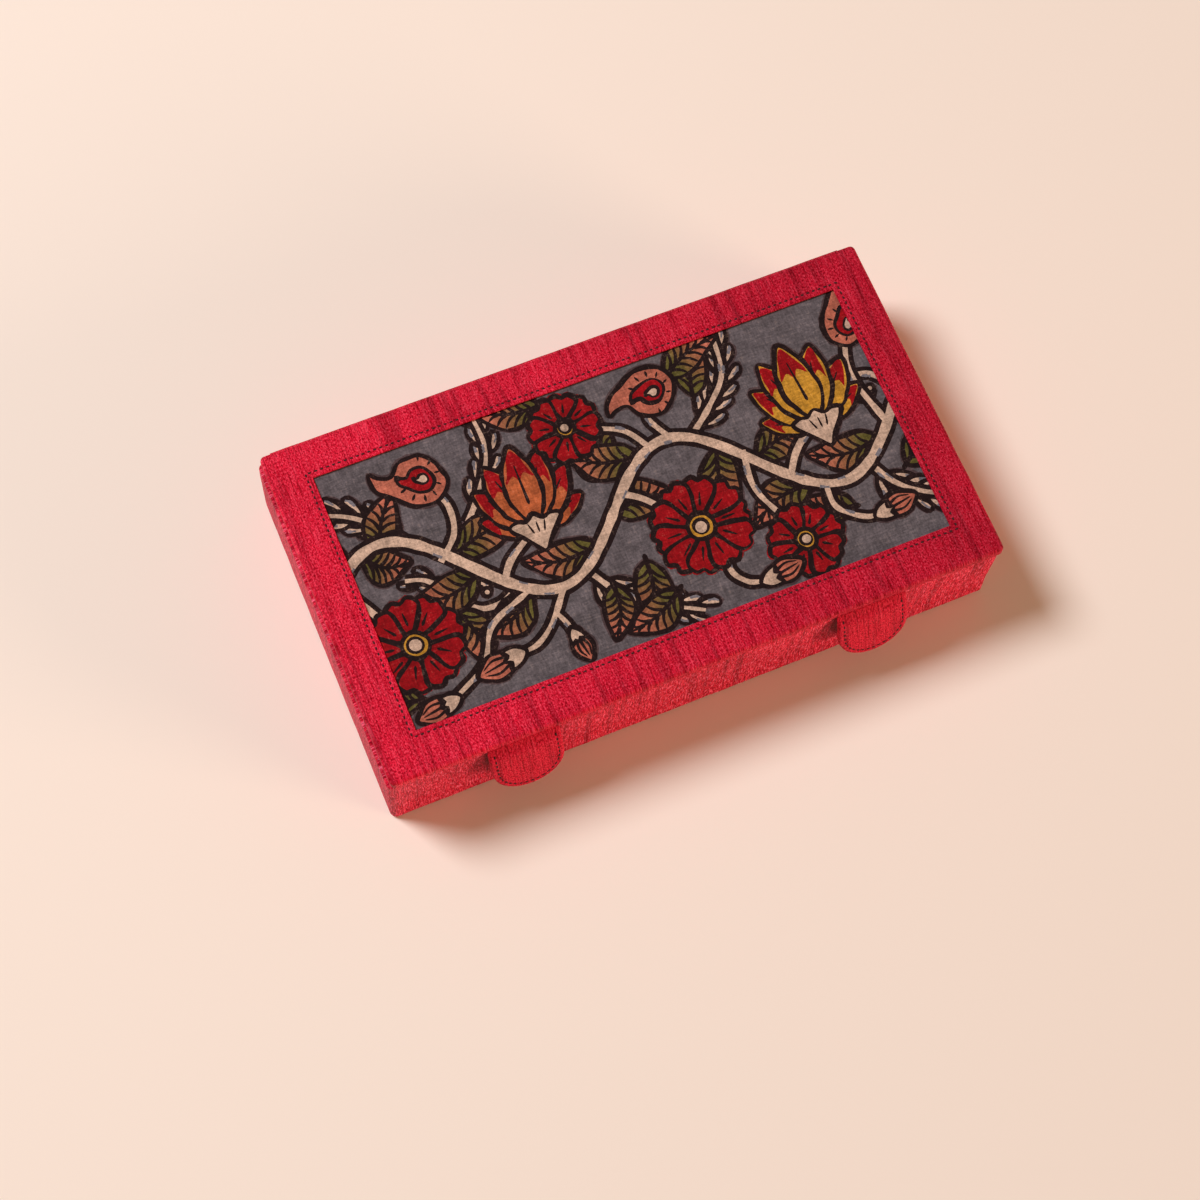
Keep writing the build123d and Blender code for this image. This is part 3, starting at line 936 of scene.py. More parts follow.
class Painting:
    """The cotton's design, painted patch by patch: each one covers what lies under it.

    Places are in millimetres from the middle of the window. A patch is a closed line, the name of
    its paint and, where the paint fades to another, that paint and the line along which it does.
    Each motif is drawn about its own start, along X, and then placed."""

    # Distance from point to point of a line
    step = 0.8

    def __init__(self, line):
        self.line = line
        self.hand = random.Random(11)
        self.under = []
        self.patches = []

    def wander(self, size):
        """A small error of the hand, either way."""
        return self.hand.uniform(-size, size)

    def curve(self, points, closed=False):
        """A smooth line through the points, sampled evenly."""
        spots = [np.array(p, float) for p in points]
        count = len(spots)
        line = []
        for i in range(count if closed else count - 1):
            if closed:
                a, b, c, d = (spots[(i + k) % count] for k in (-1, 0, 1, 2))
            else:
                b, c = spots[i], spots[i + 1]
                a = spots[i - 1] if i else 2 * b - c
                d = spots[i + 2] if i + 2 < count else 2 * c - b
            steps = max(2, int(np.linalg.norm(c - b) / self.step))
            for k in range(steps):
                t = k / steps
                bend = (2 * a - 5 * b + 4 * c - d) * t**2 + (3 * b - a - 3 * c + d) * t**3
                line.append(0.5 * (2 * b + (c - a) * t + bend))
        if not closed:
            line.append(spots[-1])
        return np.array(line)

    def shake(self, count, size, closed, every=6):
        """The hand's slow tremor, as one number for each point of a line."""
        knots = max(3, count // every)
        values = np.array([self.wander(size) for _ in range(knots)])
        if closed:
            place = np.linspace(0, knots, count, endpoint=False)
        else:
            place = np.linspace(0, knots - 1, count)
        first = place.astype(int)
        share = eased(place - first)
        return values[first % knots] * (1 - share) + values[(first + 1) % knots] * share

    def sideways(self, line, closed):
        """Unit vectors to the right of a line's run, which is outwards on an anticlockwise one."""
        if closed:
            along = np.roll(line, -1, 0) - np.roll(line, 1, 0)
        else:
            along = np.gradient(line, axis=0)
        along = unit_rows(along)
        return np.stack([along[:, 1], -along[:, 0]], 1)

    def grown(self, line, distance):
        """A closed line moved outwards. distance is one number, or one for each point."""
        distance = np.broadcast_to(distance, len(line))
        return line + self.sideways(line, True) * distance[:, None]

    def fill(self, line, paint, far=None, axis=None):
        """Lays a patch over what is there. Its line may run either way round."""
        self.patches.append((anticlockwise(line), paint, far, axis))

    def soak(self, line, half, paint):
        """Dye that crept into the cotton round a brush line, under everything else."""
        ragged = half + np.abs(self.shake(len(line), 0.5, True, 2))
        self.under.append((self.grown(line, ragged), paint, None, None))

    def band(self, line, half, paint):
        """A patch along an open line, half wide on each side."""
        side = self.sideways(line, False) * half[:, None]
        self.fill(np.vstack([line - side, (line + side)[::-1]])[::-1], paint)

    def ink(self, points, width=1.0, start=1.0, end=0.35):
        """One brush line that thins from start to end. width is a share of the usual line."""
        line = self.curve(points)
        count = len(line)
        thin = start + (end - start) * np.linspace(0, 1, count)
        half = 0.5 * self.line * width * thin * (1 + self.shake(count, 0.12, False, 3))
        steps = np.arange(count)
        cap = np.clip(np.minimum(steps, steps[::-1]) / 1.2 + 0.35, 0, 1)
        self.band(line, half * cap, "ink")

    def shape(self, points, paint, far=None, axis=None, width=1.0, slip=0.25):
        """A painted shape inside a brush line, with the hand's small errors."""
        edge = anticlockwise(self.curve(points, True))
        count = len(edge)
        edge = self.grown(edge, self.shake(count, 0.1, True))
        line = self.line * width
        self.soak(edge[::2], line * 0.5 + 0.25, "stain")
        if paint == "crimson":
            self.soak(edge, line * 0.5 - 0.1, paint)
        ragged = self.shake(count, 0.16, True, 4) + self.shake(count, 0.09, True, 2)
        self.fill(self.grown(edge, line * (0.5 + ragged)), "ink")
        inner = self.grown(edge, -line * (0.42 + self.shake(count, 0.16, True, 4)))
        self.fill(inner + (self.wander(slip), self.wander(slip)), paint, far, axis)

    def smudge(self, points, size=0.8):
        """Ground colour that has run over the edge of a pale shape."""
        line = self.curve(points)
        half = size * 0.5 * (0.6 + np.abs(self.shake(len(line), 1.0, False, 3)))
        self.band(line, half, "smudge")

    def stems(self, *runs):
        """Pale stems that grow out of each other: first every outline, then every pale middle.
        Each run is its points, its width and the share of the width left at its end."""
        sides = []
        for points, width, end in runs:
            line = self.curve(points)
            half = 0.5 * width * np.linspace(1, end, len(line))
            sides.append((line, half * (1 + self.shake(len(line), 0.12, False, 5))))
        for extra, paint in ((self.line * 0.95, "ink"), (-0.05, "cream")):
            for line, half in sides:
                self.band(line, half + extra + self.shake(len(line), 0.14, False, 4), paint)
        for line, half in sides:
            for _ in range(max(1, len(line) // 20)):
                i = self.hand.randrange(2, max(3, len(line) - 6))
                beside = half[i : i + 5] * self.hand.choice((-1, 1)) * 0.8
                spots = line[i : i + 5] + self.sideways(line, False)[i : i + 5] * beside[:, None]
                self.smudge(spots[::2], 0.9)

    def leaf(self, x, y, turn, length=26.0, width=12.0, bend=3.0):
        """A leaf with a midrib and slanting hatch lines, green at its stalk and pink at its tip."""

        def at(t, side):
            """The point t along the midrib and side of the way out to the edge."""
            swell = math.sin(math.pi * t**0.78) ** 0.85 if 0 < t < 1 else 0.0
            return (length * t, bend * math.sin(math.pi * t) + side * width / 2 * swell)

        ts = [k / 7 for k in range(8)]
        outline = [at(t, 1) for t in ts] + [at(t, -1) for t in ts[-2:0:-1]]
        axis = placed([(0.25 * length, 0), (0.8 * length, 0)], x, y, turn)
        self.shape(placed(outline, x, y, turn), "olive", "pink", axis)
        self.ink(placed([at(t, 0) for t in (-0.12, 0.2, 0.5, 0.8, 1.0)], x, y, turn), 1.15)
        hatches = 6
        for k in range(hatches):
            t = 0.12 + 0.74 * k / hatches
            for side in (-1, 1):
                a, b = at(t, 0), at(min(1, t + 0.17), side * 0.94)
                middle = ((a[0] + b[0]) / 2 + 0.5, (a[1] + b[1]) / 2 - side * 0.4)
                self.ink(placed([a, middle, b], x, y, turn), 0.8, 1.0, 0.6)

    def rosette(self, x, y, radius, petals, turn=0.0):
        """A round blossom with scalloped petals about a pale eye."""
        for k in range(petals):
            a = turn + 360.0 * k / petals + self.wander(3)
            wide = radius * math.sin(math.pi / petals) * 1.02
            far = radius * self.hand.uniform(0.95, 1.05)
            half = [(0.22 * radius, 0), (0.5 * radius, 0.62 * wide), (0.82 * far, 0.98 * wide)]
            half += [(far, 0.45 * wide)]
            outline = mirrored(half, (0.93 * far, 0))
            axis = placed([(0.55 * radius, 0), (0.2 * radius, 0)], x, y, a)
            self.shape(placed(outline, x, y, a), "crimson", "wine", axis)
            self.ink(placed([(0.42 * radius, 0), (0.72 * radius, self.wander(0.4))], x, y, a), 0.7)
        self.shape(placed(ring(0.27 * radius), x, y), "ochre")
        self.shape(placed(ring(0.15 * radius), x, y), "cream", width=0.7)

    def lotus(self, x, y, turn, size, inner):
        """A lotus seen from the side: pointed petals, red at their tips, in a pale cup."""
        # Each petal's turn, length and width
        petals = ((66, 17, 7.0), (-66, 17, 7.0), (42, 22, 8.5), (-42, 22, 8.5))
        petals += ((20, 25, 9.0), (-20, 25, 9.0), (0, 27, 10.0))
        for a, far, wide in petals:
            a += self.wander(2)
            wide /= 2
            half = [(2, 0), (0.35 * far, wide), (0.68 * far, 0.95 * wide), (0.9 * far, 0.45 * wide)]
            outline = mirrored(half, (far, 0))
            self.shape(placed(placed(outline, 0, 0, a), x, y, turn, size), inner)
            edge = [(0.6 + self.wander(0.03), 0.84), (0.66, 0.34), (0.6 + self.wander(0.04), 0)]
            edge += [(0.67, -0.34), (0.6 + self.wander(0.03), -0.84), (0.86, -0.36), (0.955, 0)]
            edge += [(0.86, 0.36)]
            tip = placed([(far * px, wide * py) for px, py in edge], 0, 0, a)
            line = self.curve(placed(tip, x, y, turn, size), True)[::-1]
            self.fill(self.grown(line, self.shake(len(line), 0.25, True, 3)), "crimson")
            rib = placed([(0.3 * far, 0), (0.78 * far, self.wander(0.5))], 0, 0, a)
            self.ink(placed(rib, x, y, turn, size), 0.75)
        half = [(-7, 0), (-3.5, 3.2), (2.2, 7.6), (3.6, 5.0), (3.0, 2.6)]
        self.shape(placed(mirrored(half, (4.8, 0)), x, y, turn, size), "cream")
        for k in (-2, 0, 2):
            self.ink(placed([(-1.0, k * 0.8), (2.4, k * 1.3)], x, y, turn, size), 0.6, 0.8, 0.5)

    def mango(self, x, y, turn, size=1.0, mirror=1):
        """A mango: a drop with a hooked tip, ticked round its edge and pale at its heart."""
        body = [(0, -9), (8, -8), (12, -1), (9, 7), (2, 12), (-5, 16), (-12, 14.5), (-9, 12.5)]
        body += [(-6.5, 8), (-9.5, 2), (-7, -6)]
        # Each layer's size, its place, its paint and the share of the usual line round it
        layers = ((1.0, 0.0, 0.0, "pink", 1.0), (0.49, 0.6, -0.6, "crimson", 0.8))
        layers += ((0.2, 1.0, -1.4, "cream", 0.6),)
        for share, across, up, paint, width in layers:
            line = [((share * px + across) * mirror, share * py + up) for px, py in body]
            self.shape(placed(line, x, y, turn, size), paint, width=width)
        for k in range(9):
            a = math.radians(-140 + 32 * k)
            tick = [(10.0 * math.cos(a) * mirror, 8.6 * math.sin(a) + 0.2)]
            tick += [(7.4 * math.cos(a) * mirror, 6.2 * math.sin(a) - 0.2)]
            self.ink(placed(tick, x, y, turn, size), 0.65, 1.0, 0.6)

    def curl(self, x, y, turn, size=1.0, mirror=1):
        """A pale tendril that winds into a hook with a round end."""
        line = [(0, 0), (6, 1.2), (11, 5), (12.5, 10), (9.5, 13.6), (5.2, 13), (3.6, 9.6)]
        line += [(5.8, 7.4)]
        line = placed([(px, py * mirror) for px, py in line], x, y, turn, size)
        self.stems((line, 2.2 * size, 0.9))
        self.shape(placed(ring(1.5), *line[-1]), "cream", width=0.8)

    def comma(self, x, y, turn, length, mirror):
        """One plump pale leaflet of a spray."""
        edge = [(0, -0.7), (0.4, -1.3), (0.8, 0.0), (1.02, 2.2), (0.93, 3.9), (0.72, 3.2)]
        edge += [(0.4, 1.3), (0, 0.7)]
        outline = [(px * length, py * mirror) for px, py in edge]
        self.shape(placed(outline, x, y, turn), "cream", width=1.05, slip=0.12)
        rise = self.hand.choice((0.25, 0.75))
        run = [(0.62, 0.2 + rise), (0.86, 1.2 + rise), (0.95, 2.8)]
        self.smudge(placed([(px * length, py * mirror) for px, py in run], x, y, turn), 0.9)

    def spray(self, points, count=6, length=11.0):
        """A curved pale stalk with leaflets down both sides."""
        line = self.curve(points)
        beside = self.sideways(line, False)
        # The angle at which the leaflets leave the stalk
        lean = 48
        for k in range(count):
            for side in (-1, 1):
                share = 0.1 + 0.9 * (k + 0.25 * (side + 1)) / count
                i = int(share * (len(line) - 1))
                heading = math.degrees(math.atan2(beside[i][0], -beside[i][1]))
                size = length * (1 - 0.3 * k / count)
                self.comma(*line[i], heading + side * lean, size, -side)
        self.stems((points, 2.4, 0.55))

    def bud(self, x, y, turn, size=1.0):
        """A closed bud in dusty pink with a pale cup."""
        half = [(0, 0), (3, 3.4), (8, 4.4), (12.5, 2.2)]
        self.shape(placed(mirrored(half, (14.5, 0)), x, y, turn, size), "pink")
        for k in (-1, 0, 1):
            rib = [(3.5, k * 1.4), (8, k * 2.3), (12, k * 0.9)]
            self.ink(placed(rib, x, y, turn, size), 0.7, 1.0, 0.4)
        half = [(-3, 0), (0, 2.8), (4.2, 3.4), (3.0, 1.2)]
        self.shape(placed(mirrored(half, (5.0, 0)), x, y, turn, size), "cream", width=0.9)

    def vine(self, x):
        """Height of the main stem at x."""
        return 19.0 * math.sin(math.radians(x * 3.35 + 25)) - 1.0

    def vine_leaf(self, x, side, ahead, length):
        """A leaf that grows from the main stem, on its upper (1) or lower (-1) side."""
        slope = math.degrees(math.atan2(self.vine(x + 1) - self.vine(x - 1), 2))
        heading = slope + (side * 52 if ahead > 0 else 180 - side * 52)
        turn = math.radians(heading)
        root = (x + 1.6 * math.cos(turn), self.vine(x) + 1.6 * math.sin(turn))
        self.leaf(*root, heading, 1.06 * length, 13.6, self.hand.choice((-3, 3)))

    def paint(self):
        """The whole design: one vine that winds along the panel with a blossom in each bend."""
        self.spray([(-78, 15), (-86, 25), (-97, 33), (-114, 38)])
        self.spray([(-24, -18), (-17, -29), (-6, -38), (8, -46)])
        self.spray([(30, 16), (40, 24), (49, 34), (52, 50)], 6, 10.5)
        self.spray([(84, -18), (90, -28), (101, -36), (116, -40)])
        self.spray([(-60, -4), (-70, -6), (-78, 0), (-84, 2)], 3, 7.5)
        self.spray([(-56, 14), (-46, 26), (-40, 38), (-40, 52)], 5, 9.5)
        self.curl(-50, -15, 215, 1.05, -1)
        self.curl(4, 12, 100, 1.0, 1)
        self.curl(56, -10, 250, 1.0, 1)
        self.curl(104, 4, 95, 1.0, 1)
        # Loose leaves: their place, turn, length and width
        loose = ((-16, 46, 165, 24, 12), (36, 30, 60, 22, 12))
        loose += ((-4, -22, 250, 23, 12.5), (2, -36, 200, 23, 12.5))
        loose += ((-94, -40, 150, 18, 10), (-72, -14, 280, 24, 12.5), (72, -30, 150, 18, 11))
        loose += ((30, 40, 20, 24, 12), (-88, 14, 60, 24, 12), (0, 20, 95, 20, 11))
        loose += ((-18, -26, 250, 20, 11), (96, -22, 20, 22, 12))
        for x, y, turn, length, width in loose:
            self.leaf(x, y, turn, length, width, 2)
        # Leaves on the main stem: their place along it, its side, their lean ahead and length
        grown = ((-66, 1, 1, 25), (-58, -1, -1, 24), (-44, -1, -1, 22), (-16, 1, -1, 25))
        grown += ((-8, -1, 1, 21), (10, 1, -1, 24), (36, -1, 1, 25), (46, 1, 1, 22))
        grown += ((62, -1, -1, 24), (92, 1, -1, 25), (98, -1, 1, 23), (-98, 1, -1, 22))
        grown += ((-96, -1, 1, 16),)
        for x, side, ahead, length in grown:
            self.vine_leaf(x, side, ahead, length)
        # The stalks of the blossoms, of the mangoes and of the buds, and last the main stem
        self.stems(
            ([(-106, 9), (-101, 0), (-96, -9), (-90, -16)], 2.7, 0.8),
            ([(-53, -12), (-48, -5), (-41, 0), (-34, 4)], 2.7, 0.8),
            ([(-3, 5), (4, 0), (10, -7), (16, -13)], 2.7, 0.8),
            ([(56, -11), (61, -4), (67, 1), (74, 4)], 2.7, 0.8),
            ([(-70, 4), (-62, 12), (-60, 22), (-63, 31)], 2.2, 0.8),
            ([(14, 17), (8, 26), (-2, 31), (-8, 33)], 2.2, 0.8),
            ([(44, 4), (42, -10), (46, -22), (50, -30)], 2.2, 0.8),
            ([(96, -4), (92, 14), (94, 26), (98, 31)], 2.2, 0.8),
            ([(-34, -20), (-42, -30), (-50, -36), (-58, -37)], 2.2, 0.8),
            ([(-40, -28), (-38, -33), (-37, -38)], 1.8, 0.8),
            ([(24, -28), (22, -36), (26, -42), (32, -44)], 2.0, 0.8),
            ([(66, -18), (66, -28), (74, -35), (82, -36)], 2.0, 0.8),
            ([(22, 18), (18, 26), (18, 30)], 2.0, 0.8),
            ([(-46, -17), (-62, -24), (-70, -36), (-84, -44)], 2.0, 0.8),
            ([(x, self.vine(x)) for x in range(-116, 117, 8)], 3.6, 0.95),
        )
        self.rosette(-89, -21, 17.5, 9, 10)
        self.lotus(-34, 3, 88, 1.2, "orange")
        self.rosette(19, -17, 18, 10)
        self.lotus(74, 3, 92, 1.25, "ochre")
        self.rosette(-11, 35, 13, 8, 30)
        self.rosette(51, -35, 13.5, 8, 12)
        self.mango(-66, 36, 105, 0.92, -1)
        self.mango(22, 36, 60, 0.9, 1)
        self.mango(100, 36, 20, 0.85, -1)
        self.bud(-58, -37, 190, 1.1)
        self.bud(-37, -37, 280, 0.8)
        self.bud(33, -44, 10)
        self.bud(-84, -44, 190)
        self.bud(80, -36, 10)
        return self.under + self.patches


def placed(points, x, y, turn=0.0, size=1.0):
    """Points turned, scaled and moved."""
    c, s = math.cos(math.radians(turn)), math.sin(math.radians(turn))
    return [(x + size * (c * px - s * py), y + size * (s * px + c * py)) for px, py in points]


def ring(radius, count=7):
    """Points round a circle."""
    turns = [2 * math.pi * k / count for k in range(count)]
    return [(radius * math.cos(t), radius * math.sin(t)) for t in turns]


def mirrored(half, tip):
    """A whole outline from its upper half, which starts on the middle line, and its tip."""
    return half + [tip] + [(x, -y) for x, y in half[:0:-1]]


def anticlockwise(line):
    """A closed line, turned round if it runs clockwise."""
    x, y = line.T
    return line[::-1] if (x * np.roll(y, -1) - np.roll(x, -1) * y).sum() < 0 else line


def inside(points, line):
    """Which points a closed line winds round anticlockwise."""
    x, y = points[:, 0][:, None], points[:, 1][:, None]
    ax, ay = line.T
    bx, by = np.roll(line, -1, 0).T
    side = (bx - ax) * (y - ay) - (x - ax) * (by - ay)
    winding = ((ay <= y) & (by > y) & (side > 0)).sum(1) - ((ay > y) & (by <= y) & (side < 0)).sum(1)
    return winding > 0


def cut_up(patches, low, high, spacing=4.0):
    """Triangles that cover the panel from low to high and never cross the edge of a patch. Points
    spacing apart are added, so that the cloth can undulate."""
    verts, edges = [], []
    for line, *_ in patches:
        line = np.clip(line, low + 0.01, high - 0.01)
        start = len(verts)
        verts += line.tolist()
        edges += [(start + i, start + (i + 1) % len(line)) for i in range(len(line))]
    start = len(verts)
    verts += [(low[0], low[1]), (high[0], low[1]), (high[0], high[1]), (low[0], high[1])]
    edges += [(start + i, start + (i + 1) % 4) for i in range(4)]
    across = int((high[0] - low[0]) / spacing)
    up = int((high[1] - low[1]) / spacing)
    for i in range(1, across):
        for j in range(1, up):
            verts.append((low[0] + i * spacing, low[1] + (j + 0.5 * (i % 2)) * spacing))
    flat = [Vector(v) for v in verts]
    spots, _, faces, *_ = delaunay_2d_cdt(flat, edges, [], 0, 1e-3)
    return np.array([tuple(v) for v in spots]), np.array([tuple(f) for f in faces])


def corner_colours(spots, faces, patches, colours):
    """A colour for each corner of each triangle: that of the last patch laid over it."""
    middles = spots[faces].mean(1)
    top = np.full(len(faces), -1)
    for index, (line, *_) in enumerate(patches):
        low, high = line.min(0), line.max(0)
        near = np.nonzero(((middles > low) & (middles < high)).all(1))[0]
        if len(near):
            top[near[inside(middles[near], line)]] = index
    corners = np.tile(np.array(colours["ground"]), (len(faces), 3, 1))
    for index, (_, paint, far, axis) in enumerate(patches):
        mine = np.nonzero(top == index)[0]
        if not len(mine):
            continue
        if far is None:
            corners[mine] = colours[paint]
            continue
        start, end = (np.array(p) for p in axis)
        run = end - start
        share = np.clip((spots[faces[mine]] - start) @ run / (run @ run), 0, 1)[..., None]
        corners[mine] = np.array(colours[paint]) * (1 - share) + np.array(colours[far]) * share
    return corners


class BOX_OT_painted_panel(bpy.types.Operator):
    """Paints the cotton panel and lays it under the window"""

    bl_idname = "box.painted_panel"
    bl_label = "Painted panel"

    # How much smaller the cloth is than its seat on each side
    trim = 0.2

    def execute(self, context):
        paints = context.scene.box_paint
        middle = (WINDOW_LOW + WINDOW_HIGH) / 2
        low, high = PANEL_LOW[:2] + self.trim - middle, PANEL_HIGH[:2] - self.trim - middle
        patches = Painting(paints.line / MM).paint()
        spots, faces = cut_up(patches, low, high)
        names = [name for name in PaintSettings.__annotations__ if name != "line"]
        colours = {name: tuple(getattr(paints, name)) for name in names}
        corners = corner_colours(spots, faces, patches, colours)
        place = spots + middle
        height = PANEL_HIGH[2] - 0.02 + ripple(place[:, 0], place[:, 1], 41, 0.02, 9.0)
        top = np.column_stack([place, height])
        # The cloth's edge and its flat underside, in the colour of the ground
        count = len(top)
        edge = outline_of(faces)
        below = top[edge] - (0, 0, PANEL_HIGH[2] - PANEL_LOW[2] - 0.06)
        sides = []
        for i, a in enumerate(edge):
            b = (i + 1) % len(edge)
            sides.append((a, count + i, count + b, edge[b]))
        under = [tuple(range(count, count + len(edge)))[::-1]]
        every = faces.tolist() + sides + under
        mesh = mesh_from("painted_cotton_panel", np.vstack([top, below]), every)
        paint = mesh.color_attributes.new("paint", "FLOAT_COLOR", "CORNER")
        values = np.tile(np.array((*colours["ground"], 1.0), np.float32), (len(mesh.loops), 1))
        values[: len(faces) * 3, :3] = corners.reshape(-1, 3)
        paint.data.foreach_set("color", values.ravel())
        piece = new_object("painted_cotton_panel", mesh)
        dress(piece, finish("painted_cotton"), "lid")
        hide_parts("painted_panel")
        return {"FINISHED"}


def outline_of(faces):
    """The points round the edge of a flat patch of triangles, in order."""
    runs = {(int(f[i]), int(f[(i + 1) % 3])) for f in faces for i in range(3)}
    onward = {a: b for a, b in runs if (b, a) not in runs}
    line = [next(iter(onward))]
    while onward[line[-1]] != line[0]:
        line.append(onward[line[-1]])
    return line


# Stitches


# Half of a stitch's length, as a share of the pitch
STITCH_REACH = 0.38


def one_stitch():
    """A stitch along X: a short thread that bows up between its two needle holes."""
    settings = bpy.context.scene.box_stitch
    half = (settings.pitch * STITCH_REACH, settings.thickness / 2, settings.thickness / 2)
    bpy.ops.object.select_all(action="DESELECT")
    bpy.ops.mesh.primitive_uv_sphere_add(
        segments=8, ring_count=6, radius=1, rotation=(0, math.pi / 2, 0)
    )
    stitch = bpy.context.active_object
    bpy.ops.object.transform_apply(location=True, rotation=True, scale=True)
    stitch.data.transform(Matrix.Diagonal((*half, 1.0)))
    bpy.ops.object.mode_set(mode="EDIT")
    bpy.ops.mesh.select_all(action="DESELECT")
    bpy.ops.object.mode_set(mode="OBJECT")
    # Both ends dip to their needle holes
    for vertex in stitch.data.vertices:
        vertex.select = abs(vertex.co.x) > 0.8 * half[0]
    bpy.ops.object.mode_set(mode="EDIT")
    bpy.ops.mesh.select_mode(type="VERT")
    bpy.ops.transform.translate(value=(0, 0, -0.5 * settings.thickness))
    bpy.ops.object.mode_set(mode="OBJECT")
    return stitch


def stitches(name, path, ups, body):
    """A row of machine stitches along a path in millimetres, whose cloth faces ups."""
    settings = bpy.context.scene.box_stitch
    pitch = settings.pitch / MM
    walked = run_of(path)
    count = round(walked[-1] / pitch)
    hand = random.Random(len(name))
    pattern = one_stitch()
    row = []
    for k in range(count):
        at = walked[-1] * (k + 0.5) / count + hand.uniform(-0.1, 0.1)
        before, middle, after = (
            Vector([np.interp(at + reach, walked, path[:, i]) for i in range(3)])
            for reach in (-0.4, 0.0, 0.4)
        )
        along = (after - before).normalized()
        up = Vector([np.interp(at, walked, ups[:, i]) for i in range(3)])
        across = up.cross(along).normalized()
        up = along.cross(across)
        # No stitch lies quite along the seam
        lean = hand.uniform(-0.09, 0.09)
        along, across = along + across * lean, across - along * lean
        turn = Matrix((along, across, up)).transposed().to_4x4()
        stitch = pattern.copy()
        stitch.data = pattern.data.copy()
        stitch.data.transform(Matrix.Translation(middle * MM) @ turn)
        bpy.context.scene.collection.objects.link(stitch)
        row.append(stitch)
    bpy.data.objects.remove(pattern)
    bpy.ops.object.select_all(action="DESELECT")
    for stitch in row:
        stitch.select_set(True)
    bpy.context.view_layer.objects.active = row[0]
    bpy.ops.object.join()
    piece = row[0]
    piece.name = piece.data.name = name
    smooth(piece, 180)
    dress(piece, finish("sewing_thread"), body)


class BOX_OT_window_stitches(bpy.types.Operator):
    """Topstitches the silk round the window"""

    bl_idname = "box.window_stitches"
    bl_label = "Window stitches"

    def execute(self, context):
        inset = context.scene.box_stitch.inset / MM
        low, high = WINDOW_LOW - inset, WINDOW_HIGH + inset
        flat = rounded_loop(low, high, 0.2, side_counts(low, high, 0.7), 2)
        flat = np.vstack([flat, flat[:1]])
        x, y = flat.T
        lift = lid_top_relief(x, y, from_window(x, y))
        path = np.column_stack([flat, LID_HIGH[2] + lift])
        ups = np.tile((0.0, 0.0, 1.0), (len(path), 1))
        stitches("window_stitches", path, ups, "lid")
        return {"FINISHED"}


# The hinge cloth


class BOX_OT_hinge_cloth(bpy.types.Operator):
    """Glues the cloth hinge along the back, from the wall up to the lid's edge"""

    bl_idname = "box.hinge_cloth"
    bl_label = "Hinge cloth"

    def execute(self, context):
        silk = context.scene.box_silk
        wall_low, wall_high = box_mm("hinge_cloth_wall")
        top = box_mm("hinge_cloth_lid")[1][2]
        foot, turn = wall_low[2], LID_AXIS[2]
        wall_y = wall_high[1]
        lid_y = LID_HIGH[1] + 0.45
        # Each row as (y, z): the lower edge pressed in, up the wall, outwards past the joint's
        # axis and up the lid's edge, where the upper edge is pressed in too
        rows = [(wall_y - 0.12, foot), (wall_y, foot + 0.4)]
        rows += [(wall_y, foot + (turn - 1.2 - foot) * k / 8) for k in range(1, 9)]
        rows += [(wall_y - 0.02, turn - 0.6), (wall_y + 0.06, turn - 0.2)]
        rows += [(wall_y + 0.18, turn + 0.15), (lid_y - 0.12, turn + 0.6)]
        rows += [(lid_y, turn + 1.1), (lid_y, turn + 2.2), (lid_y, top - 0.4)]
        rows += [(lid_y - 0.12, top)]
        across = np.linspace(wall_low[0], wall_high[0], 200)
        points, spots = [], []
        for y, z in rows:
            level = np.full(len(across), z)
            lift = ripple(across, level, 51, 0.035, 7.0)
            points.append(np.column_stack([across, y + lift, level]))
            spots.append(np.column_stack([across, level]))
        faces = grid_faces(len(rows), len(across), flip=True)
        mesh = mesh_from("hinge_cloth", np.vstack(points), faces, np.vstack(spots))
        piece = new_object("hinge_cloth", mesh)
        apply_modifier(piece, "SOLIDIFY", thickness=silk.thickness, offset=-1.0)
        smooth(piece)
        dress(piece, finish("raw_silk"))
        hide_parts("hinge_cloth_wall", "hinge_cloth_lid")
        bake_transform(piece)
        return {"FINISHED"}


# The closing tabs

# Height of a tab's silk in its seam, as a share of the full thickness
SEAM_HEIGHT = 0.88


def closed_piece(name, layers, uv=None):
    """A closed piece from open layers of points, joined up at both ends."""
    columns = len(layers[0])
    faces = grid_faces(len(layers), columns)
    for end in (0, columns - 1):
        faces.append(tuple(r * columns + end for r in range(len(layers))))
    return merged(new_object(name, mesh_from(name, np.vstack(layers), faces, uv)))


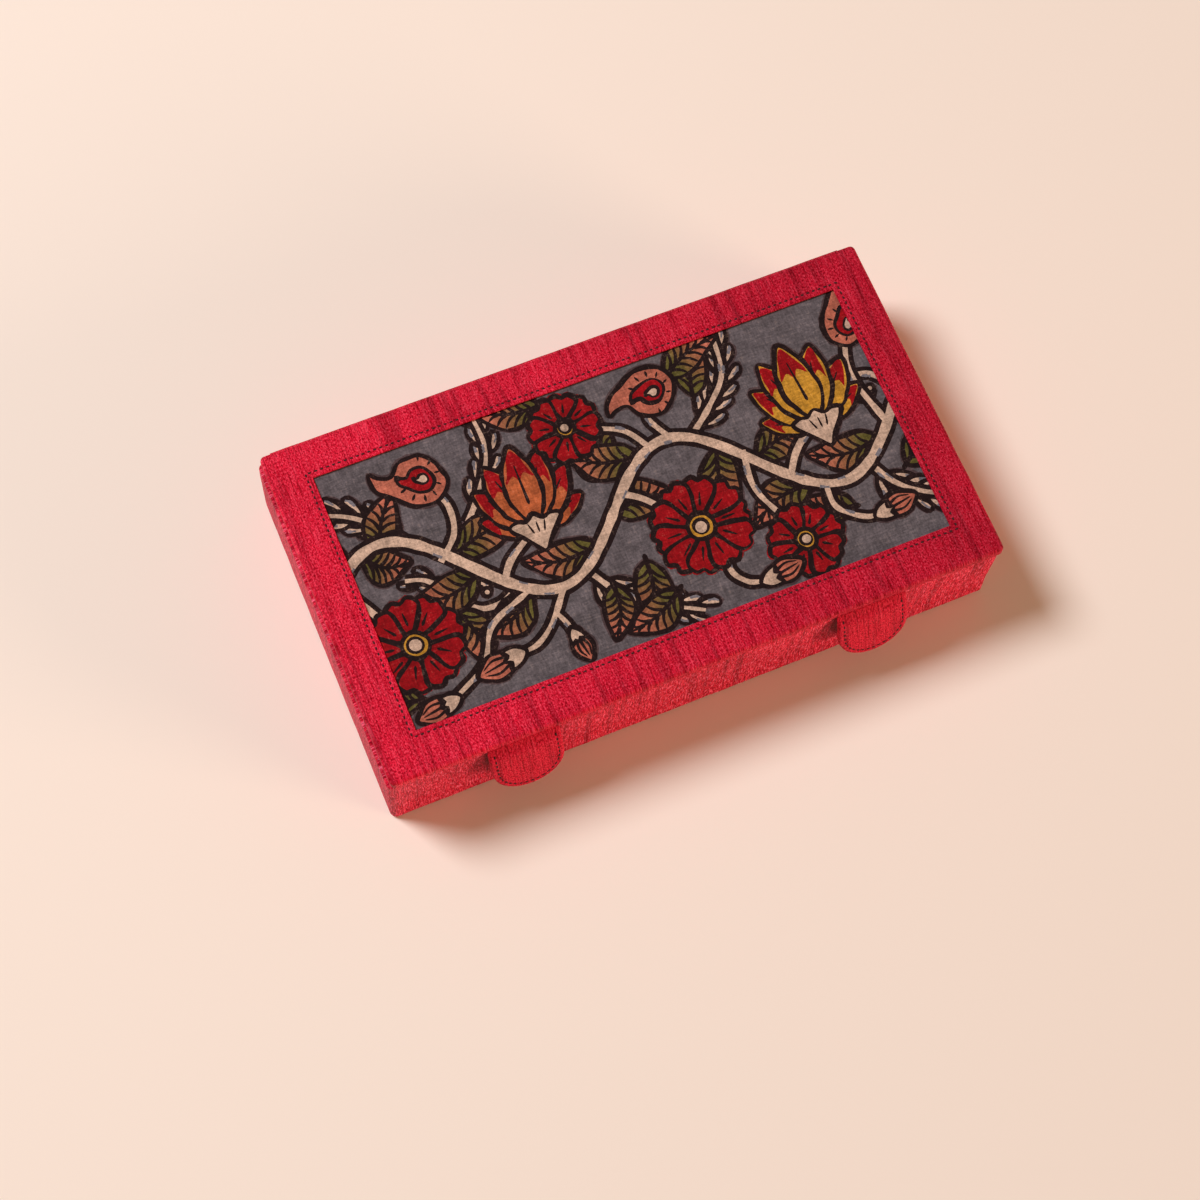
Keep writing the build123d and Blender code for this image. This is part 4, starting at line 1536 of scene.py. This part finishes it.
class TabShape:
    """One closing tab with the tongue that carries it. Its own frame is across, along (0 at the
    hinge line, more down the tab, less along the tongue) and out (0 on the face by the wall)."""

    width = 26.5
    length = 23.5
    tongue_width = 22.0
    tongue = 13.0
    thickness = 1.8
    tongue_thickness = 0.5
    # How far down the tab it has grown to its full thickness, where the silk starts over the
    # facing, and how far the front face bows out
    root = 4.0
    backing = 0.4
    bow = 0.5
    # Distance from point to point of the edge
    spacing = 0.8

    def __init__(self, axis):
        self.axis = axis

    def half_width(self, along):
        """Half the width there: the tongue's, growing to the tab's over the last millimetre."""
        grow = np.clip(along + 1, 0, 1)
        return self.tongue_width / 2 * (1 - grow) + self.width / 2 * grow

    def outline(self, start, inset=0.0):
        """The U-shaped edge as (across, along), from the left side to the right, both from start
        on down the tab."""
        spacing = self.spacing
        radius = self.width / 2
        centre = self.length - radius
        count = int((centre - start) / spacing)
        down = np.linspace(start, centre, count, endpoint=False)
        left = np.column_stack([-self.half_width(down) + inset, down])
        turns = np.linspace(0, math.pi, int(math.pi * radius / spacing))
        round_end = np.column_stack(
            [-(radius - inset) * np.cos(turns), centre + (radius - inset) * np.sin(turns)]
        )
        right = np.column_stack([self.half_width(down) - inset, down])[::-1]
        return np.vstack([left, round_end, right])

    def drawn_in(self, edge, inset):
        """Edge points moved towards the tab's middle line, as (across, along), but not past it."""
        centre = self.length - self.width / 2
        spine = np.column_stack([np.zeros(len(edge)), np.minimum(edge[:, 1], centre)])
        reach = np.linalg.norm(edge - spine, axis=1)
        share = np.clip(inset / np.maximum(reach, 1e-6), 0, 1)[:, None]
        return (edge * (1 - share) + spine * share).T

    def full_thickness(self, along):
        """The thickness there, from the tongue's to the tab's."""
        swell = eased(np.clip(along / self.root, 0, 1))
        return self.tongue_thickness + (self.thickness - self.tongue_thickness) * swell

    def to_box(self, across, along, out):
        """Places points of the tab's frame in the box, in millimetres."""
        # The tab hangs from the hinge line, tilted off the wall
        down = np.array([-math.sin(TAB_TILT), -math.cos(TAB_TILT)])
        away = np.array([-math.cos(TAB_TILT), math.sin(TAB_TILT)])
        # Only its front bows
        outer = np.clip((out - self.backing) / 0.9, 0, 1)
        bowed = out + outer * self.bow * np.sin(np.clip(along / self.length, 0, 1) * math.pi)
        hang = self.axis[1:] + np.outer(along, down) + np.outer(bowed, away)
        # Its tongue lies glued under the lid
        under = LID_LOW[2] - self.tongue_thickness - 0.02
        lie = np.column_stack([self.axis[1] - along, under + out])
        # The bend between them takes 1.1 mm, half of it on each side of the hinge line
        share = eased(np.clip(along / 1.1 + 0.5, 0, 1))[:, None]
        place = lie * (1 - share) + hang * share
        # At the hinge line the front keeps close to the lid's edge
        near = bell(along - 0.35, 0.7, np.clip(out / 0.4, 0, 1))
        place += np.outer(near, (0.4, 0.55))
        return np.column_stack([self.axis[0] + across, place])

    def silk(self, name, profile):
        """The wrapped silk. Its front follows profile, which pairs distances from the edge with
        shares of the full thickness there, and its back lies flat on the facing."""
        edge = self.outline(-self.tongue)
        back = self.backing
        points, spots = [], []
        # The back from the middle outwards, then the front from the edge inwards
        layers = [(inset, None) for inset, _ in profile[:0:-1]] + profile
        for inset, height in layers:
            across, along = self.drawn_in(edge, inset)
            front = height is not None
            out = np.full(len(along), back)
            if front:
                out = out + (self.full_thickness(along) - back) * height
            if front and inset > 1.0:
                out = out + ripple(across, along, len(name), 0.04, 5.0)
            points.append(self.to_box(across, along, out))
            # The back is cut from another place of the cloth
            spots.append(np.column_stack([across, along + (0 if front else 100)]))
        return closed_piece(name, points, np.vstack(spots))


class BOX_OT_tabs(bpy.types.Operator):
    """Makes the two closing tabs: silk, backing and topstitching"""

    bl_idname = "box.tabs"
    bl_label = "Closing tabs"

    def execute(self, context):
        inset = context.scene.box_stitch.inset / MM
        # A rounded edge, a dip at the seam and then a soft rise towards the middle
        profile = [(0.0, 0.0), (0.08, 0.45), (0.25, 0.75), (0.5, 0.92), (0.9, 1.0), (1.4, 1.0)]
        profile += [(inset - 0.35, 0.97), (inset, SEAM_HEIGHT), (inset + 0.35, 0.97)]
        profile += [(3.2, 1.02), (4.6, 1.05), (6.6, 1.07), (9.0, 1.08), (11.5, 1.08), (14.0, 1.08)]
        for side, axis in TABS.items():
            shape = TabShape(axis)
            silk = shape.silk(f"tab_{side}_silk", profile)
            smooth(silk, 50)
            dress(silk, finish("tab_silk"))
            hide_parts(f"tab_{side}_face", f"tab_tongue_{side}")
            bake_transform(silk)
            self.back(shape, side)
            self.sew(shape, side, inset)
        return {"FINISHED"}

    def back(self, shape, side):
        """The cotton facing on the side by the wall."""
        edge = shape.outline(0.6, inset=1.2)
        # Each layer's distance from the edge and its distance out: first the glued side, then the
        # side that shows, which is rounded at its edge
        insets = (0.0, 0.1, 0.3, 2.0, 5.0, 9.0, 12.5)
        layers = [(inset, shape.backing) for inset in insets[::-1]]
        layers += zip(insets, (0.2, 0.06, 0.0, 0.0, 0.0, 0.0, 0.0))
        points = []
        for inset, out in layers:
            across, along = shape.drawn_in(edge, inset)
            points.append(shape.to_box(across, along, np.full(len(along), out)))
        piece = closed_piece(f"tab_{side}_facing", points)
        smooth(piece, 50)
        # Near black, as painted shadow in the gap behind the tab
        dress(piece, finish("tab_facing"), f"tab_{side}")
        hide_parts(f"tab_{side}_backing")

    def sew(self, shape, side, inset):
        """Topstitching round the tab's edge."""
        across, along = shape.drawn_in(shape.outline(1.2), inset)
        out = shape.backing + (shape.full_thickness(along) - shape.backing) * SEAM_HEIGHT
        path = shape.to_box(across, along, out)
        above = shape.to_box(across, along, out + 1.0)
        stitches(f"tab_{side}_stitches", path, above - path, f"tab_{side}")


# Linings and the padded floor


def wrapped_card(name, node_name, body, puff, face):
    """A card wrapped in cotton: the CAD card's box with soft edges and a slight swell, puff high,
    on the face that shows. face is the axis and the sign of that side."""
    low, high = box_mm(node_name)
    bpy.ops.object.select_all(action="DESELECT")
    bpy.ops.mesh.primitive_cube_add(size=1.0, location=(low + high) / 2 * MM)
    piece = bpy.context.active_object
    piece.name = piece.data.name = name
    piece.scale = (high - low) * MM
    bpy.ops.object.transform_apply(location=True, rotation=True, scale=True)
    bpy.ops.object.mode_set(mode="EDIT")
    bpy.ops.mesh.select_all(action="SELECT")
    bpy.ops.mesh.bevel(offset=0.5 * MM, segments=4, profile=0.5, affect="EDGES")
    bpy.ops.mesh.select_all(action="DESELECT")
    bpy.ops.object.mode_set(mode="OBJECT")
    # The face that shows is stepped inwards, and each step is raised a little
    axis, sign = face
    for polygon in piece.data.polygons:
        polygon.select = polygon.normal[axis] * sign > 0.99
    bpy.ops.object.mode_set(mode="EDIT")
    bpy.ops.mesh.select_mode(type="FACE")
    steps = (1.2, 2.2, 3.0)
    for step in steps:
        bpy.ops.mesh.inset(thickness=step * MM, depth=puff * MM / len(steps))
    bpy.ops.object.mode_set(mode="OBJECT")
    smooth(piece, 50)
    dress(piece, finish("lining_cotton"), body)
    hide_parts(node_name)


class BOX_OT_linings(bpy.types.Operator):
    """Makes the cotton-wrapped cards inside the walls and under the lid"""

    bl_idname = "box.linings"
    bl_label = "Linings"

    def execute(self, context):
        sides = {"front": (1, 1), "back": (1, -1), "left": (0, 1), "right": (0, -1)}
        for side, face in sides.items():
            wrapped_card(f"{side}_lining_card", f"{side}_lining", "base", 0.25, face)
        wrapped_card("lid_lining_card", "lid_lining", "lid", 0.3, (2, -1))
        return {"FINISHED"}


class BOX_OT_floor_pad(bpy.types.Operator):
    """Pads the floor with cotton over foam"""

    bl_idname = "box.floor_pad"
    bl_label = "Floor pad"

    def execute(self, context):
        crown = context.scene.box_lining.crown / MM
        low, high = box_mm("floor_cloth")
        counts = side_counts(low, high, 2.0)
        edge = high[2] - 0.9
        # Each row: its distance from the edge and its height, up the side and over the corner
        rows = [(0.0, low[2]), (0.0, low[2] + 1.2)]
        rows += [(2.2 * (1 - c), edge - 1.2 + 1.6 * s) for s, c in quarter(5)]
        points = []
        for inset, height in rows:
            flat = rounded_loop(low[:2] + inset, high[:2] - inset, 1.0, counts)
            points.append(np.column_stack([flat, np.full(len(flat), height)]))
        # The padding swells towards the middle and is full 40 mm from the edge
        half_width = (high - low)[1] / 2 - 0.5
        for inset in (4, 7, 11, 16, 22, 30, 40, 50, half_width):
            flat = rounded_loop(low[:2] + inset, high[:2] - inset, 0.6, counts)
            rise = crown * (1 - (1 - min(1, inset / 40)) ** 2.2)
            height = rows[-1][1] + rise * 0.8 + ripple(*flat.T, 61, 0.10, 22.0)
            points.append(np.column_stack([flat, height]))
        columns = len(points[0])
        faces = grid_faces(len(points), columns, True)
        faces.append(tuple(range(columns))[::-1])
        faces.append(tuple(range((len(points) - 1) * columns, len(points) * columns)))
        mesh = mesh_from("floor_pad", np.vstack(points), faces)
        piece = merged(new_object("floor_pad", mesh))
        smooth(piece, 70)
        dress(piece, finish("lining_cotton"), "base")
        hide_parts("floor_cloth", "floor_foam")
        return {"FINISHED"}


class BOX_OT_boards(bpy.types.Operator):
    """Finishes the boards, the magnets and the underside, which keep their CAD shapes"""

    bl_idname = "box.boards"
    bl_label = "Boards and magnets"

    def execute(self, context):
        for part in frame["record"]["subparts"]:
            materials = frame["nodes"][part["node"]].data.materials
            materials.clear()
            materials.append(finish(part["material_slot"]))
        return {"FINISHED"}


class BOX_PT_sidebar(bpy.types.Panel):
    """Lists the box's sizes, colours and pieces"""

    bl_idname = "BOX_PT_sidebar"
    bl_label = "Painted jewelry box"
    bl_space_type = "VIEW_3D"
    bl_region_type = "UI"
    bl_category = "Jewelry box"

    def draw(self, context):
        layout = self.layout
        for group in SETTINGS:
            settings = getattr(context.scene, group)
            layout.label(text=type(settings).__doc__)
            for name in settings.__annotations__:
                layout.prop(settings, name)
        for maker in MAKERS:
            layout.operator(maker.bl_idname)


SETTINGS = {
    "box_silk": SilkSettings,
    "box_stitch": StitchSettings,
    "box_paint": PaintSettings,
    "box_lining": LiningSettings,
}
MAKERS = (
    BOX_OT_stage,
    BOX_OT_boards,
    BOX_OT_lid_silk,
    BOX_OT_wall_silk,
    BOX_OT_painted_panel,
    BOX_OT_window_stitches,
    BOX_OT_hinge_cloth,
    BOX_OT_tabs,
    BOX_OT_linings,
    BOX_OT_floor_pad,
)
CLASSES = (*SETTINGS.values(), *MAKERS, BOX_PT_sidebar)


def register():
    """Makes the settings, the operators and the panel known to Blender."""
    for made in CLASSES:
        bpy.utils.register_class(made)
    for name, group in SETTINGS.items():
        setattr(bpy.types.Scene, name, bpy.props.PointerProperty(type=group))


def unregister():
    """Takes them away again."""
    for name in SETTINGS:
        delattr(bpy.types.Scene, name)
    for made in reversed(CLASSES):
        bpy.utils.unregister_class(made)


def main():
    """Makes every piece."""
    register()
    for maker in MAKERS:
        group, name = maker.bl_idname.split(".")
        getattr(getattr(bpy.ops, group), name)()


if __name__ == "__main__":
    main()
